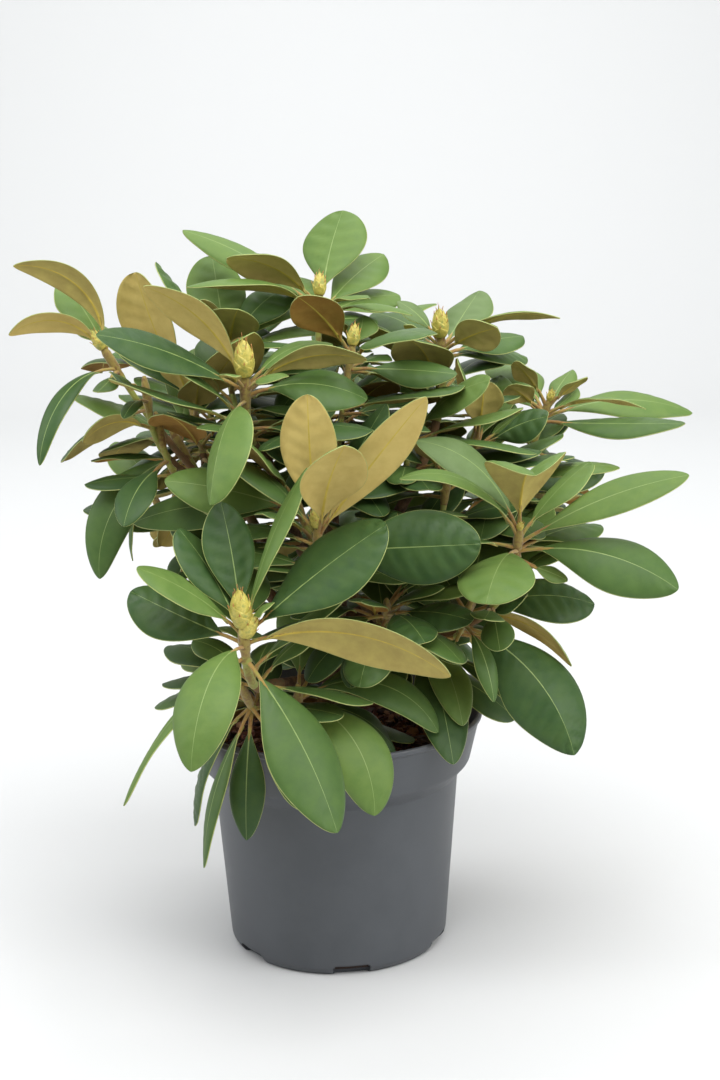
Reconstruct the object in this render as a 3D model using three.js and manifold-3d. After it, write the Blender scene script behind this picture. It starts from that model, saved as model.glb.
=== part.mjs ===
// A rhododendron in bud, growing in a round plastic nursery pot.
// Lengths are millimetres, angles are degrees, z is up, and the pot stands on z = 0 round the z axis.
import * as THREE from 'three';
import { mergeVertices } from 'three/addons/utils/BufferGeometryUtils.js';
import Module from 'manifold-3d';

// Clearances
const seatGap = 0.3;            // between pieces that rest on or grow out of each other
const guardGap = 0.35;          // added round every limb and leaf before they are tested for touching

// Pot
const potHeight = 183;
const potSides = 28;
const wall = 2;
const floorThickness = 3;
const footRadius = 80;          // flat underside
const baseRadius = 84;          // above the bevelled foot
const bevelHeight = 5;
const neckRadius = 94;          // top of the tapered body
const neckHeight = 135;
const collarRadius = 103.5;     // lower edge of the collar
const collarHeight = 146;
const rimRadius = 111;          // top of the collar, below the lip
const lipDepth = 5;
const lipStand = 2;             // how far the rolled lip stands out
const notchCount = 6;           // drainage notches in the foot
const notchTurn = 37;           // heading of the first notch
const notchWidth = 28;
const notchHeight = 8;
const notchInset = 8;           // how far a notch reaches in under the pot

// Growing medium
const soilTop = 165;
const soilEdge = 160;           // where it meets the pot wall
const soilFlatRadius = 24;      // level patch round the trunk

// Trunk
const trunkFoot = new THREE.Vector3(4, 0, soilTop + seatGap);
const trunkTop = new THREE.Vector3(-2, 2, 300);
const trunkRadius = 13;
const trunkTopRadius = 6;
const flareHeight = 20;
const flareStand = 8;           // extra radius at the flat cut
const trunkSides = 10;

// Boughs, twigs and buds
const boughRadius = 5.2;
const boughTipRadius = 4;
const boughSides = 5;
const boughSteps = 4;
const stemLength = 12;
const stemRadius = 3.8;
const twigRadius = 3.6;
const twigTipRadius = 2.8;
const twigSides = 4;
const twigSteps = 4;
const shootLength = 30;         // straight end of a twig, which carries the leaves
const budWidth = 0.5;           // share of the bud's length
const twinDepth = 6;            // how far below the shoot's end a second bud stands
const topLeafDepth = 8;         // how far below the shoot's end the steepest leaves grow
const steepRise = 70;
const depthPerDegree = 0.2;     // flatter leaves grow this much lower for each degree

// Leaves
const petioleLength = 14;
const petioleRadius = 1.6;
const leafCrest = 1;            // the midrib stands this far above the blade
const leafFold = -0.1;          // the margins fall away by this share of the half width
const leafStations = [0.2, 0.5, 0.8];
const seededStations = [0.3, 0.7];

// Seeded leaves, which fill the crown between the leaves set by hand
const seed = 11;
const triesPerLeaf = 8;
const goldenAngle = 137.5;
const seededRise = [-15, 55];
const seededLength = [80, 115];
const seededWidth = [0.36, 0.46];
const seededDroop = [12, 52];
const seededRoll = 15;
const lowestTip = 95;
const nearestTip = -135;
const crownCentre = new THREE.Vector3(15, 0, 325);
const crownDepth = 215;
const outlineEye = new THREE.Vector3(20, -1390, 645);   // the crown's outline is drawn as seen from here
const outlineReach = [          // from the crown's centre, every 15 degrees from +x through +z
  185, 195, 195, 180, 195, 170, 235, 210, 225, 255, 230, 240,
  200, 170, 165, 220, 225, 190, 185, 185, 185, 230, 180, 170,
];

// Each mass of foliage hangs on a bough that leaves the trunk at the height `from` and ends at `tip`.
// Each shoot in it has its end, its lean as [heading, rise], its bud length, its leaves as
// [heading, rise, length, width, droop, roll] with the fold where a leaf is creased, and the seeded leaves
// as [from heading, to heading, count].
const masses = [
  { name: 'left_high', from: 268, tip: [-88, 2, 352], shoots: [
    { at: [-163, -21, 468], lean: [200, 60], bud: 14, seeded: [60, 170, 2], leaves: [
      [200, 85, 105, 24, 90, 50], [195, 55, 85, 24, 95, 45], [235, 5, 115, 18, 90, -10],
      [140, 60, 70, 34, 30, 0], [120, 40, 55, 28, 30, 0], [260, -5, 50, 18, 10, 0]] },
    { at: [-103, 11, 424], lean: [150, 75], bud: 0, seeded: [30, 330, 3], leaves: [
      [200, 65, 110, 56, -10, 25], [150, 55, 85, 40, 40, 0], [250, 60, 60, 26, 10, 0],
      [280, 35, 70, 30, 0, 0]] },
    { at: [-125, -30, 420], lean: [130, 70], bud: 0, seeded: [60, 200, 1], leaves: [
      [205, 30, 65, 30, 80, 45]] },
    { at: [-132, -29, 446], lean: [120, 75], bud: 0, seeded: [60, 200, 1], leaves: [
      [220, 40, 35, 22, 20, -20], [255, 15, 50, 14, 55, 0]] },
  ] },
  { name: 'left_low', from: 228, tip: [-66, 24, 298], shoots: [
    { at: [-118, 4, 401], lean: [190, 60], bud: 0, seeded: [60, 330, 4], leaves: [
      [220, -5, 130, 34, 90, -40], [180, -25, 100, 20, 80, 0], [185, -65, 65, 34, 0, 50]] },
  ] },
  { name: 'front_high', from: 286, tip: [-42, -25, 372], shoots: [
    { at: [-57, -71, 454], lean: [270, 80], bud: 24, seeded: [20, 160, 3], leaves: [
      [200, 35, 115, 34, 25, -40], [205, 65, 105, 32, 45, 35], [245, 40, 35, 16, 40, 0],
      [310, 35, 50, 22, 45, 10], [30, 45, 80, 34, 60, 10], [350, 20, 90, 40, 50, 35],
      [255, 0, 110, 46, 80, 30, -0.3], [350, 40, 95, 24, 60, -45]] },
    { at: [-75, 21, 466], lean: [110, 80], bud: 0, seeded: [0, 330, 3], leaves: [
      [105, 50, 85, 46, -10, 0], [35, 55, 75, 40, 40, 20], [175, 55, 85, 42, 5, 0],
      [240, 60, 50, 28, 10, 0]] },
  ] },
  { name: 'top', from: 300, tip: [-2, 2, 300], shoots: [
    { at: [-5, 10, 501], lean: [60, 85], bud: 15, seeded: [20, 350, 3], leaves: [
      [70, 55, 85, 50, 10, 0], [50, 30, 85, 36, 10, 20], [40, 15, 80, 34, 20, 25], [110, 30, 50, 28, 10, 0],
      [165, 40, 120, 30, 25, -25], [205, 50, 85, 36, 50, 35], [310, 30, 60, 20, 40, 0],
      [340, 20, 75, 18, 45, 0], [30, 0, 50, 28, 10, 30]] },
    { at: [19, -30, 469], lean: [10, 80], bud: 14, seeded: [0, 340, 3], leaves: [
      [225, 55, 70, 38, 30, 30], [70, 45, 40, 24, 5, 0], [55, 10, 50, 22, 15, 0],
      [345, 5, 80, 28, 15, 35]] },
  ] },
  { name: 'right_high', from: 284, tip: [60, 2, 352], shoots: [
    { at: [84, 18, 468], lean: [260, 75], bud: 20, seeded: [20, 330, 3], leaves: [
      [60, 35, 75, 38, 10, 0], [150, 55, 50, 18, 40, -20], [190, 45, 35, 14, 40, 20],
      [315, 30, 60, 34, 20, -45], [330, 40, 105, 18, 55, -20], [30, 15, 75, 32, 20, 25],
      [45, 5, 100, 34, 25, 20]] },
    { at: [62, -18, 408], lean: [60, 70], bud: 0, seeded: [0, 360, 4], leaves: [
      [330, 50, 80, 36, 35, 35]] },
    { at: [110, 7, 395], lean: [270, 80], bud: 0, seeded: [20, 250, 3], leaves: [
      [280, 65, 55, 30, 0, 0], [190, 85, 65, 30, 20, 0], [330, 35, 65, 32, 20, 40],
      [15, 40, 50, 20, 20, 10]] },
  ] },
  { name: 'right', from: 252, tip: [96, 20, 310], shoots: [
    { at: [168, 39, 415], lean: [330, 70], bud: 8, seeded: [20, 200, 3], leaves: [
      [205, 40, 40, 28, 10, 40], [330, 50, 45, 16, 30, -20], [190, 65, 45, 24, 30, 30],
      [60, 35, 60, 20, 20, 0], [120, 25, 55, 20, 20, -20], [50, 20, 50, 16, 0, 0], [5, 20, 120, 34, 45, 30],
      [335, 30, 85, 16, 55, -20], [320, 5, 125, 34, 0, 20]] },
    { at: [136, 11, 364], lean: [10, 60], bud: 0, seeded: [20, 330, 4], leaves: [
      [20, 15, 90, 36, 20, 30], [340, 30, 95, 28, 40, 10]] },
  ] },
  { name: 'front_right', from: 216, tip: [64, -38, 242], shoots: [
    { at: [134, -91, 345], lean: [290, 75], bud: 6, seeded: [20, 200, 2], leaves: [
      [275, 80, 95, 56, 90, 0, 0.5], [350, 35, 130, 34, 25, 35], [340, 10, 120, 46, 45, 40, -0.3],
      [210, 60, 120, 22, 70, -20], [165, 70, 105, 34, 65, -25], [250, 10, 85, 54, 55, 0],
      [340, -20, 40, 14, 0, 30], [35, 15, 80, 36, 25, 10]] },
    { at: [104, -53, 284], lean: [300, 60], bud: 0, seeded: [0, 220, 3], leaves: [
      [10, 20, 100, 48, 45, 30], [330, 25, 50, 30, 10, 20], [332, 12, 95, 24, 72, -50]] },
    { at: [101, -80, 289], lean: [300, 60], bud: 0, seeded: [0, 220, 1], leaves: [
      [325, -15, 130, 56, 60, 35, -0.35], [290, -10, 75, 16, 70, 0], [250, -25, 35, 26, 30, -30]] },
  ] },
  { name: 'right_low', from: 190, tip: [45, 4, 206], shoots: [
    { at: [82, 3, 244], lean: [350, 45], bud: 0, seeded: [10, 300, 3], leaves: [
      [285, 10, 110, 30, 65, 0], [280, 0, 130, 38, 60, 0], [320, 0, 125, 18, 50, 0]] },
  ] },
  { name: 'front', from: 240, tip: [8, -48, 290], shoots: [
    { at: [-8, -111, 354], lean: [260, 80], bud: 14, seeded: [10, 180, 3], leaves: [
      [250, 85, 100, 42, 5, 0], [290, 60, 95, 46, 20, 0], [330, 55, 135, 34, 10, -45],
      [45, 55, 110, 30, 10, 0], [345, 5, 115, 52, 0, 75]] },
    { at: [86, -41, 377], lean: [60, 75], bud: 14, seeded: [0, 360, 4], leaves: [
      [215, 60, 40, 24, 10, 0], [340, 45, 30, 20, 20, 0]] },
    { at: [-26, -71, 368], lean: [200, 70], bud: 0, seeded: [20, 340, 4], leaves: [
      [190, 25, 100, 38, 20, -50], [215, 60, 75, 46, 25, -10], [175, 15, 125, 34, 40, -45]] },
    { at: [40, -79, 290], lean: [270, 50], bud: 0, seeded: [0, 360, 4], leaves: [
      [250, -15, 70, 36, 35, 0], [330, 15, 70, 34, 30, 20], [215, 5, 55, 30, 35, -15],
      [290, 15, 75, 34, 40, 0]] },
  ] },
  { name: 'front_low', from: 214, tip: [-38, -72, 226], shoots: [
    { at: [-59, -152, 296], lean: [260, 75], bud: 25, twin: [330, 60], seeded: [10, 140, 3], leaves: [
      [195, 50, 90, 34, 30, -25], [150, 60, 85, 36, 15, -10], [115, 70, 90, 38, 5, 0],
      [20, 75, 120, 26, 20, 0], [330, 60, 35, 18, 50, 20], [0, 45, 125, 58, 15, 40],
      [350, 20, 150, 44, 60, -60], [320, -40, 135, 54, 30, 15], [250, 10, 125, 44, 95, 0],
      [195, -30, 135, 16, 40, 0], [160, 20, 90, 44, 0, -35]] },
    { at: [-63, -119, 241], lean: [255, 50], bud: 0, seeded: [20, 230, 3], leaves: [
      [260, -55, 95, 26, 40, 0], [230, -45, 120, 20, 40, 20], [315, -35, 85, 28, 40, 0],
      [165, -40, 110, 40, 55, -20]] },
  ] },
  { name: 'near_low', from: 186, tip: [-4, -46, 204], shoots: [
    { at: [-25, -83, 229], lean: [270, 60], bud: 0, seeded: [0, 200, 4], leaves: [
      [350, 30, 120, 32, 95, 30], [310, 5, 120, 44, 95, 20], [355, 0, 85, 36, 65, 10],
      [10, 25, 60, 26, 20, 25]] },
  ] },
  { name: 'back_left', from: 246, tip: [-60, 52, 315], shoots: [
    { at: [-107, 107, 430], lean: [130, 60], bud: 14, seeded: [0, 360, 7], leaves: [] },
    { at: [-144, 97, 329], lean: [150, 40], bud: 0, seeded: [0, 360, 6], leaves: [] },
  ] },
  { name: 'back_high', from: 276, tip: [2, 58, 345], shoots: [
    { at: [20, 118, 455], lean: [80, 65], bud: 14, seeded: [0, 360, 7], leaves: [] },
    { at: [5, 170, 369], lean: [90, 40], bud: 14, seeded: [0, 360, 7], leaves: [] },
  ] },
  { name: 'back_right', from: 226, tip: [70, 60, 290], shoots: [
    { at: [127, 122, 405], lean: [45, 60], bud: 14, seeded: [0, 360, 7], leaves: [] },
    { at: [139, 133, 318], lean: [40, 35], bud: 0, seeded: [0, 360, 7], leaves: [] },
  ] },
  { name: 'back_low', from: 200, tip: [0, 62, 230], shoots: [
    { at: [-57, 145, 253], lean: [115, 30], bud: 0, seeded: [0, 360, 7], leaves: [] },
    { at: [67, 140, 248], lean: [65, 30], bud: 0, seeded: [0, 360, 7], leaves: [] },
  ] },
];

const up = new THREE.Vector3(0, 0, 1);
const east = new THREE.Vector3(1, 0, 0);

const { degToRad, lerp } = THREE.MathUtils;

function vector([x, y, z]) {
  return new THREE.Vector3(x, y, z);
}

function direction(heading, rise) {
  const level = Math.cos(degToRad(rise));
  const turn = degToRad(heading);
  return new THREE.Vector3(level * Math.cos(turn), level * Math.sin(turn), Math.sin(degToRad(rise)));
}

// --- Closed shells: points and faces ---

// Joins rings of points into one closed shell, whose far end is a cap or comes to a point
function loft(rings, tip = null) {
  const sides = rings[0].length;
  const last = (rings.length - 1) * sides;
  const points = rings.flat();
  const faces = [];
  for (let ring = 0; ring < rings.length - 1; ring += 1) {
    for (let side = 0; side < sides; side += 1) {
      const a = ring * sides + side;
      const b = ring * sides + (side + 1) % sides;
      faces.push([a, b, b + sides], [a, b + sides, a + sides]);
    }
  }
  for (let side = 1; side < sides - 1; side += 1) {
    faces.push([0, side + 1, side]);
    if (!tip) faces.push([last, last + side, last + side + 1]);
  }
  if (tip) {
    points.push(tip);
    for (let side = 0; side < sides; side += 1) {
      faces.push([last + side, last + (side + 1) % sides, points.length - 1]);
    }
  }
  return { points, faces };
}

function ringAt(centre, tangent, radius, sides, reference) {
  const across = reference.clone().cross(tangent).normalize();
  const over = tangent.clone().cross(across);
  return Array.from({ length: sides }, (_, side) => {
    const turn = 2 * Math.PI * side / sides;
    return centre.clone()
      .addScaledVector(across, radius * Math.cos(turn))
      .addScaledVector(over, radius * Math.sin(turn));
  });
}

// Stations are points on a limb with the direction that it takes there
function bend(start, knee, end, steps) {
  const curve = new THREE.QuadraticBezierCurve3(start, knee, end);
  return Array.from({ length: steps + 1 }, (_, step) => ({
    point: curve.getPoint(step / steps),
    tangent: curve.getTangent(step / steps),
  }));
}

function limb(stations, startRadius, endRadius, sides, grow = 0) {
  const last = stations.length - 1;
  const along = stations[last].point.clone().sub(stations[0].point).normalize();
  const reference = Math.abs(along.z) < 0.9 ? up : east;
  const rings = stations.map(({ point, tangent }, index) => {
    const centre = point.clone();
    if (index === 0) centre.addScaledVector(tangent, -grow);
    if (index === last) centre.addScaledVector(tangent, grow);
    const radius = lerp(startRadius, endRadius, index / last) + grow;
    return ringAt(centre, tangent, radius, sides, reference);
  });
  return loft(rings);
}

// --- Leaves ---

// Half width at a share of the blade, from the petiole to the tip
function outline(share) {
  return Math.sin(Math.PI * share ** 1.2) ** (0.95 - 0.35 * share);
}

// The midrib leaves its root straight, then the blade droops along an arc and is rolled about it
function midrib(leaf, distance) {
  const heading = direction(leaf.heading, 0);
  const rise = degToRad(leaf.rise);
  const droop = degToRad(leaf.droop) / (leaf.length - petioleLength);
  const past = Math.max(0, distance - petioleLength);
  const pitch = rise - droop * past;
  const point = leaf.root.clone();
  point.addScaledVector(direction(leaf.heading, leaf.rise), Math.min(distance, petioleLength));
  if (leaf.droop === 0) {
    point.addScaledVector(direction(leaf.heading, leaf.rise), past);
  } else {
    point.addScaledVector(heading, (Math.sin(rise) - Math.sin(pitch)) / droop);
    point.addScaledVector(up, (Math.cos(pitch) - Math.cos(rise)) / droop);
  }
  const tangent = heading.clone().multiplyScalar(Math.cos(pitch)).addScaledVector(up, Math.sin(pitch));
  const normal = heading.multiplyScalar(-Math.sin(pitch)).addScaledVector(up, Math.cos(pitch));
  const left = normal.clone().cross(tangent);
  const roll = degToRad(leaf.roll);
  return {
    point,
    left: left.clone().multiplyScalar(Math.cos(roll)).addScaledVector(normal, Math.sin(roll)),
    normal: normal.multiplyScalar(Math.cos(roll)).addScaledVector(left, -Math.sin(roll)),
  };
}

// A three-cornered section: the two margins and the crest over the midrib
function leafSection(leaf, distance, halfWidth, crest, margin) {
  const { point, left, normal } = midrib(leaf, distance);
  return [
    point.clone().addScaledVector(left, halfWidth).addScaledVector(normal, margin),
    point.clone().addScaledVector(normal, crest),
    point.clone().addScaledVector(left, -halfWidth).addScaledVector(normal, margin),
  ];
}

function leafShell(leaf, grow = 0, withRoot = true) {
  const stem = petioleRadius + grow;
  const stemSection = (distance) => leafSection(leaf, distance, stem, stem, -stem / 2);
  const rings = withRoot ? [stemSection(0)] : [];
  rings.push(stemSection(petioleLength));
  leaf.stations.forEach((share) => {
    const distance = lerp(petioleLength, leaf.length, share);
    const halfWidth = leaf.width / 2 * outline(share) + grow;
    rings.push(leafSection(leaf, distance, halfWidth, leafCrest + grow, leaf.fold * halfWidth - 2 * grow));
  });
  return loft(rings, midrib(leaf, leaf.length + grow).point);
}

// Flatter leaves grow from lower on the shoot
function makeLeaf(shoot, [heading, rise, length, width, droop, roll, fold = leafFold], stations) {
  const below = topLeafDepth + depthPerDegree * Math.max(0, steepRise - rise);
  const root = vector(shoot.at).addScaledVector(direction(...shoot.lean), -below);
  return { root, heading, rise, length, width, droop, roll, fold, stations };
}

function budShell(base, lean, length) {
  const shape = [[0, 0.45], [0.3, 1], [0.65, 0.75]];     // share of the length, share of the radius
  const axis = direction(...lean);
  const reference = Math.abs(axis.z) < 0.9 ? up : east;
  const rings = shape.map(([share, size]) => ringAt(
    base.clone().addScaledVector(axis, share * length), axis, size * budWidth * length / 2, 6, reference));
  return loft(rings, base.clone().addScaledVector(axis, length));
}

// --- Touch tests ---

// A guard is a shell with what the tests need: its own edges and its box
function guardOf({ points, faces }, owner) {
  const edges = new Map();
  faces.forEach(([a, b, c]) => [[a, b], [b, c], [c, a]].forEach(([from, to]) => {
    edges.set(`${Math.min(from, to)} ${Math.max(from, to)}`, [from, to]);
  }));
  return { points, faces, owner, edges: [...edges.values()], box: new THREE.Box3().setFromPoints(points) };
}

const ray = new THREE.Ray();
const hitPoint = new THREE.Vector3();
const edgeBox = new THREE.Box3();

function edgesEnter(shell, other) {
  return shell.edges.some(([from, to]) => {
    const start = shell.points[from];
    const end = shell.points[to];
    if (!edgeBox.setFromPoints([start, end]).intersectsBox(other.box)) return false;
    ray.origin.copy(start);
    ray.direction.subVectors(end, start).normalize();
    const length = start.distanceTo(end);
    return other.faces.some(([a, b, c]) => {
      const corners = [a, b, c].map((index) => other.points[index]);
      return ray.intersectTriangle(...corners, false, hitPoint) && hitPoint.distanceTo(start) <= length;
    });
  });
}

function touches(one, other) {
  return one.box.intersectsBox(other.box) && (edgesEnter(one, other) || edgesEnter(other, one));
}

// --- Limbs ---

function trunkAxis(height) {
  const share = (height - trunkFoot.z) / (trunkTop.z - trunkFoot.z);
  return trunkFoot.clone().lerp(trunkTop, share);
}

function radiusOfTrunk(height) {
  const share = (height - trunkFoot.z) / (trunkTop.z - trunkFoot.z);
  const flare = Math.max(0, 1 - (height - trunkFoot.z) / flareHeight) ** 2;
  return lerp(trunkRadius, trunkTopRadius, share) + flareStand * flare;
}

// Level rings, so the trunk has a flat cut at the growing medium and a flat top
function trunkShell(grow = 0) {
  const rise = trunkTop.z - trunkFoot.z;
  const shares = [0, 0.04, 0.08, 0.15, 0.4, 0.7, 1];
  const rings = shares.map((share) => {
    const height = trunkFoot.z + rise * share;
    return ringAt(trunkAxis(height), up, radiusOfTrunk(height) + grow, trunkSides, east);
  });
  return loft(rings);
}

function boughStations(mass) {
  const tip = vector(mass.tip);
  const axis = trunkAxis(mass.from);
  const outward = tip.clone().sub(axis).setZ(0).normalize();
  const start = axis.clone().addScaledVector(outward, radiusOfTrunk(mass.from));
  const knee = new THREE.Vector3(
    lerp(start.x, tip.x, 0.55), lerp(start.y, tip.y, 0.55), lerp(start.z, tip.z, 0.3));
  const stations = bend(start, knee, tip, boughSteps);
  const { tangent } = stations[0];
  const inside = start.clone().addScaledVector(tangent, -0.8 * radiusOfTrunk(mass.from));
  return [{ point: inside, tangent }, ...stations];
}

function boughShell(mass, grow = 0) {
  return limb(boughStations(mass), boughRadius, boughTipRadius, boughSides, grow);
}

// The stem goes straight on from the bough's tip, or from the trunk's top
function stemStations(mass) {
  const onward = mass.from < trunkTop.z ? boughStations(mass).at(-1).tangent : up;
  const start = vector(mass.tip).addScaledVector(onward, seatGap);
  const end = start.clone().addScaledVector(onward, stemLength);
  return [{ point: start, tangent: onward }, { point: end, tangent: onward }];
}

function twigStations(mass, shoot) {
  const [, stemEnd] = stemStations(mass);
  const lean = direction(...shoot.lean);
  const end = vector(shoot.at);
  const neck = end.clone().addScaledVector(lean, -shootLength);
  const knee = neck.clone().addScaledVector(lean, -0.45 * neck.distanceTo(stemEnd.point));
  const start = stemEnd.point.clone().addScaledVector(stemEnd.tangent, -2);
  return [...bend(start, knee, neck, twigSteps), { point: end, tangent: lean }];
}

function woodyShells(mass, grow = 0) {
  const stem = limb(stemStations(mass), boughTipRadius, stemRadius, twigSides, grow);
  const twigs = mass.shoots.map((shoot) => (
    limb(twigStations(mass, shoot), twigRadius, twigTipRadius, twigSides, grow)));
  return [stem, ...twigs];
}

// --- Where the leaves go ---

function random(state) {
  let counter = state;
  return () => {
    counter = (counter + 0x6d2b79f5) | 0;
    let mixed = Math.imul(counter ^ (counter >>> 15), counter | 1);
    mixed ^= mixed + Math.imul(mixed ^ (mixed >>> 7), mixed | 61);
    return ((mixed ^ (mixed >>> 14)) >>> 0) / 4294967296;
  };
}

function outlineAllows(point) {
  const seen = point.clone().sub(outlineEye);
  seen.multiplyScalar(-outlineEye.y / seen.y).add(outlineEye).sub(crownCentre);
  const turn = (Math.atan2(seen.z, seen.x) / (2 * Math.PI) + 1) * outlineReach.length;
  const before = Math.floor(turn);
  const reach = lerp(
    outlineReach[before % outlineReach.length],
    outlineReach[(before + 1) % outlineReach.length],
    turn - before);
  return Math.hypot(seen.x, seen.z) < reach;
}

function staysInCrown(leaf) {
  const tip = midrib(leaf, leaf.length).point;
  const middle = midrib(leaf, lerp(petioleLength, leaf.length, 0.5));
  const sides = [1, -1].map((side) => (
    middle.point.clone().addScaledVector(middle.left, side * leaf.width / 2)));
  const depth = Math.hypot((tip.y - crownCentre.y) / crownDepth, (tip.z - crownCentre.z) / crownDepth);
  return tip.z > lowestTip && tip.y > nearestTip && depth < 1 && [tip, ...sides].every(outlineAllows);
}

const limbGuards = [guardOf(trunkShell(guardGap), 'trunk'), guardOf(loft(keepOutRings()), 'pot')];
masses.forEach((mass) => {
  if (mass.from < trunkTop.z) limbGuards.push(guardOf(boughShell(mass, guardGap), 'bough'));
  woodyShells(mass, guardGap).forEach((shell) => limbGuards.push(guardOf(shell, mass.name)));
});

// A solid of level rings round the filled pot, a little proud of it
function keepOutRings() {
  const stand = 2;
  const shape = [
    [baseRadius + stand, -1], [neckRadius + stand, neckHeight - 1], [collarRadius + stand, collarHeight - 2],
    [rimRadius + lipStand + stand, potHeight - lipDepth - 1], [rimRadius + lipStand + stand, potHeight + 1],
    [rimRadius - 5, potHeight + 1], [collarRadius - 3, soilTop + 1], [1, soilTop + 1],
  ];
  return shape.map(([radius, height]) => ringAt(new THREE.Vector3(0, 0, height), up, radius, 24, east));
}

const placed = [];

// Blades keep clear of everything; a petiole may run into the twigs and petioles of its own mass
function place(leaf, mass) {
  const whole = guardOf(leafShell(leaf, guardGap), mass.name);
  const blade = guardOf(leafShell(leaf, guardGap, false), mass.name);
  const blocked = limbGuards.some((guard) => touches(guard.owner === mass.name ? blade : whole, guard))
    || placed.some((other) => (other.whole.owner === mass.name
      ? touches(blade, other.blade)
      : touches(whole, other.whole)));
  if (!blocked) placed.push({ leaf, whole, blade });
  return !blocked;
}

function seedLeaves(mass, shoot, draw) {
  const [from, to, count] = shoot.seeded;
  const pick = ([low, high]) => lerp(low, high, draw());
  let grown = 0;
  for (let turn = 0; turn < count * triesPerLeaf; turn += 1) {
    const heading = to - from === 360 ? (turn * goldenAngle + 30 * draw()) % 360 : pick([from, to]);
    const rise = lerp(seededRise[1], seededRise[0], (turn % count + draw()) / count);
    const length = pick(seededLength);
    const width = length * pick(seededWidth);
    const droop = pick(seededDroop);
    const roll = pick([-seededRoll, seededRoll]);
    const leaf = makeLeaf(shoot, [heading, rise, length, width, droop, roll], seededStations);
    if (grown < count && staysInCrown(leaf) && place(leaf, mass)) grown += 1;
  }
}

masses.forEach((mass) => mass.shoots.forEach((shoot) => {
  shoot.leaves.forEach((settings) => place(makeLeaf(shoot, settings, leafStations), mass));
}));
const draw = random(seed);
masses.forEach((mass) => mass.shoots.forEach((shoot) => seedLeaves(mass, shoot, draw)));

// --- Solids ---

const wasm = await Module();
wasm.setup();

function solidOf({ points, faces }) {
  const vertProperties = new Float32Array(points.flatMap((point) => point.toArray()));
  const triVerts = new Uint32Array(faces.flat());
  return new wasm.Manifold(new wasm.Mesh({ numProp: 3, vertProperties, triVerts }));
}

// Turns a three.js geometry into a shell with shared corners and no collapsed faces
function shellOf(geometry) {
  const bare = geometry.clone();
  bare.deleteAttribute('normal');
  bare.deleteAttribute('uv');
  const merged = mergeVertices(bare, 1e-4);
  const position = merged.getAttribute('position');
  const points = Array.from({ length: position.count }, (_, index) => (
    new THREE.Vector3().fromBufferAttribute(position, index)));
  const corners = [...merged.index.array];
  const faces = Array.from({ length: corners.length / 3 }, (_, face) => corners.slice(3 * face, 3 * face + 3))
    .filter(([a, b, c]) => a !== b && b !== c && c !== a);
  return { points, faces };
}

// Keeps the largest connected shell, which drops loose scraps and fills any sealed hollow
function largestShell({ points, faces }) {
  const leader = points.map((_, index) => index);
  const find = (index) => {
    let top = index;
    while (leader[top] !== top) {
      leader[top] = leader[leader[top]];
      top = leader[top];
    }
    return top;
  };
  faces.forEach(([a, b, c]) => {
    leader[find(a)] = find(b);
    leader[find(b)] = find(c);
  });
  const groups = new Map();
  faces.forEach((face) => {
    const key = find(face[0]);
    groups.set(key, [...(groups.get(key) ?? []), face]);
  });
  const largest = [...groups.values()].sort((one, other) => other.length - one.length)[0];
  return { points, faces: largest };
}

function geometryOf({ points, faces }) {
  const geometry = new THREE.BufferGeometry();
  geometry.setAttribute('position', new THREE.Float32BufferAttribute(points.flatMap((p) => p.toArray()), 3));
  geometry.setIndex(faces.flat());
  return geometry;
}

function meshGeometry(solid) {
  const { vertProperties, triVerts } = solid.getMesh();
  const points = [];
  for (let start = 0; start < vertProperties.length; start += 3) {
    points.push(new THREE.Vector3(...vertProperties.slice(start, start + 3)));
  }
  const faces = [];
  for (let start = 0; start < triVerts.length; start += 3) faces.push([...triVerts.slice(start, start + 3)]);
  return geometryOf(largestShell({ points, faces }));
}

function lathe(profile) {
  const geometry = new THREE.LatheGeometry(profile.map(([r, z]) => new THREE.Vector2(r, z)), potSides);
  return geometry.rotateX(Math.PI / 2);
}

// --- Materials ---

function finish(color, roughness) {
  return new THREE.MeshStandardMaterial({ color, roughness, metalness: 0 });
}

const finishes = {
  pot: finish(0x45484c, 0.5),
  medium: finish(0x2d1a14, 0.95),
  bark: finish(0x7a6247, 0.85),
  foliage: finish(0x4f7347, 0.5),
};

// --- The pieces ---

function makePot() {
  const outside = [
    [0, 0], [footRadius, 0], [baseRadius, bevelHeight], [neckRadius, neckHeight],
    [collarRadius, collarHeight], [rimRadius, potHeight - lipDepth],
    [rimRadius + lipStand, potHeight - lipDepth + 1], [rimRadius + lipStand, potHeight - 1],
    [rimRadius + lipStand - 1, potHeight],
  ];
  const inside = [
    [rimRadius - 1, potHeight], [rimRadius - wall, potHeight - lipDepth], [collarRadius - wall, collarHeight],
    [neckRadius - wall, neckHeight], [baseRadius - wall, floorThickness + 2], [footRadius - 1, floorThickness],
    [0, floorThickness],
  ];
  let solid = solidOf(shellOf(lathe([...outside, ...inside])));
  const depth = 2 * notchInset;
  for (let notch = 0; notch < notchCount; notch += 1) {
    const cutter = new THREE.BoxGeometry(depth, notchWidth, 2 * notchHeight);
    cutter.translate(baseRadius - notchInset + depth / 2, 0, 0);
    cutter.rotateZ(degToRad(notchTurn) + 2 * Math.PI * notch / notchCount);
    solid = solid.subtract(solidOf(shellOf(cutter)));
  }
  return new THREE.Mesh(meshGeometry(solid), finishes.pot);
}

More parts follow.
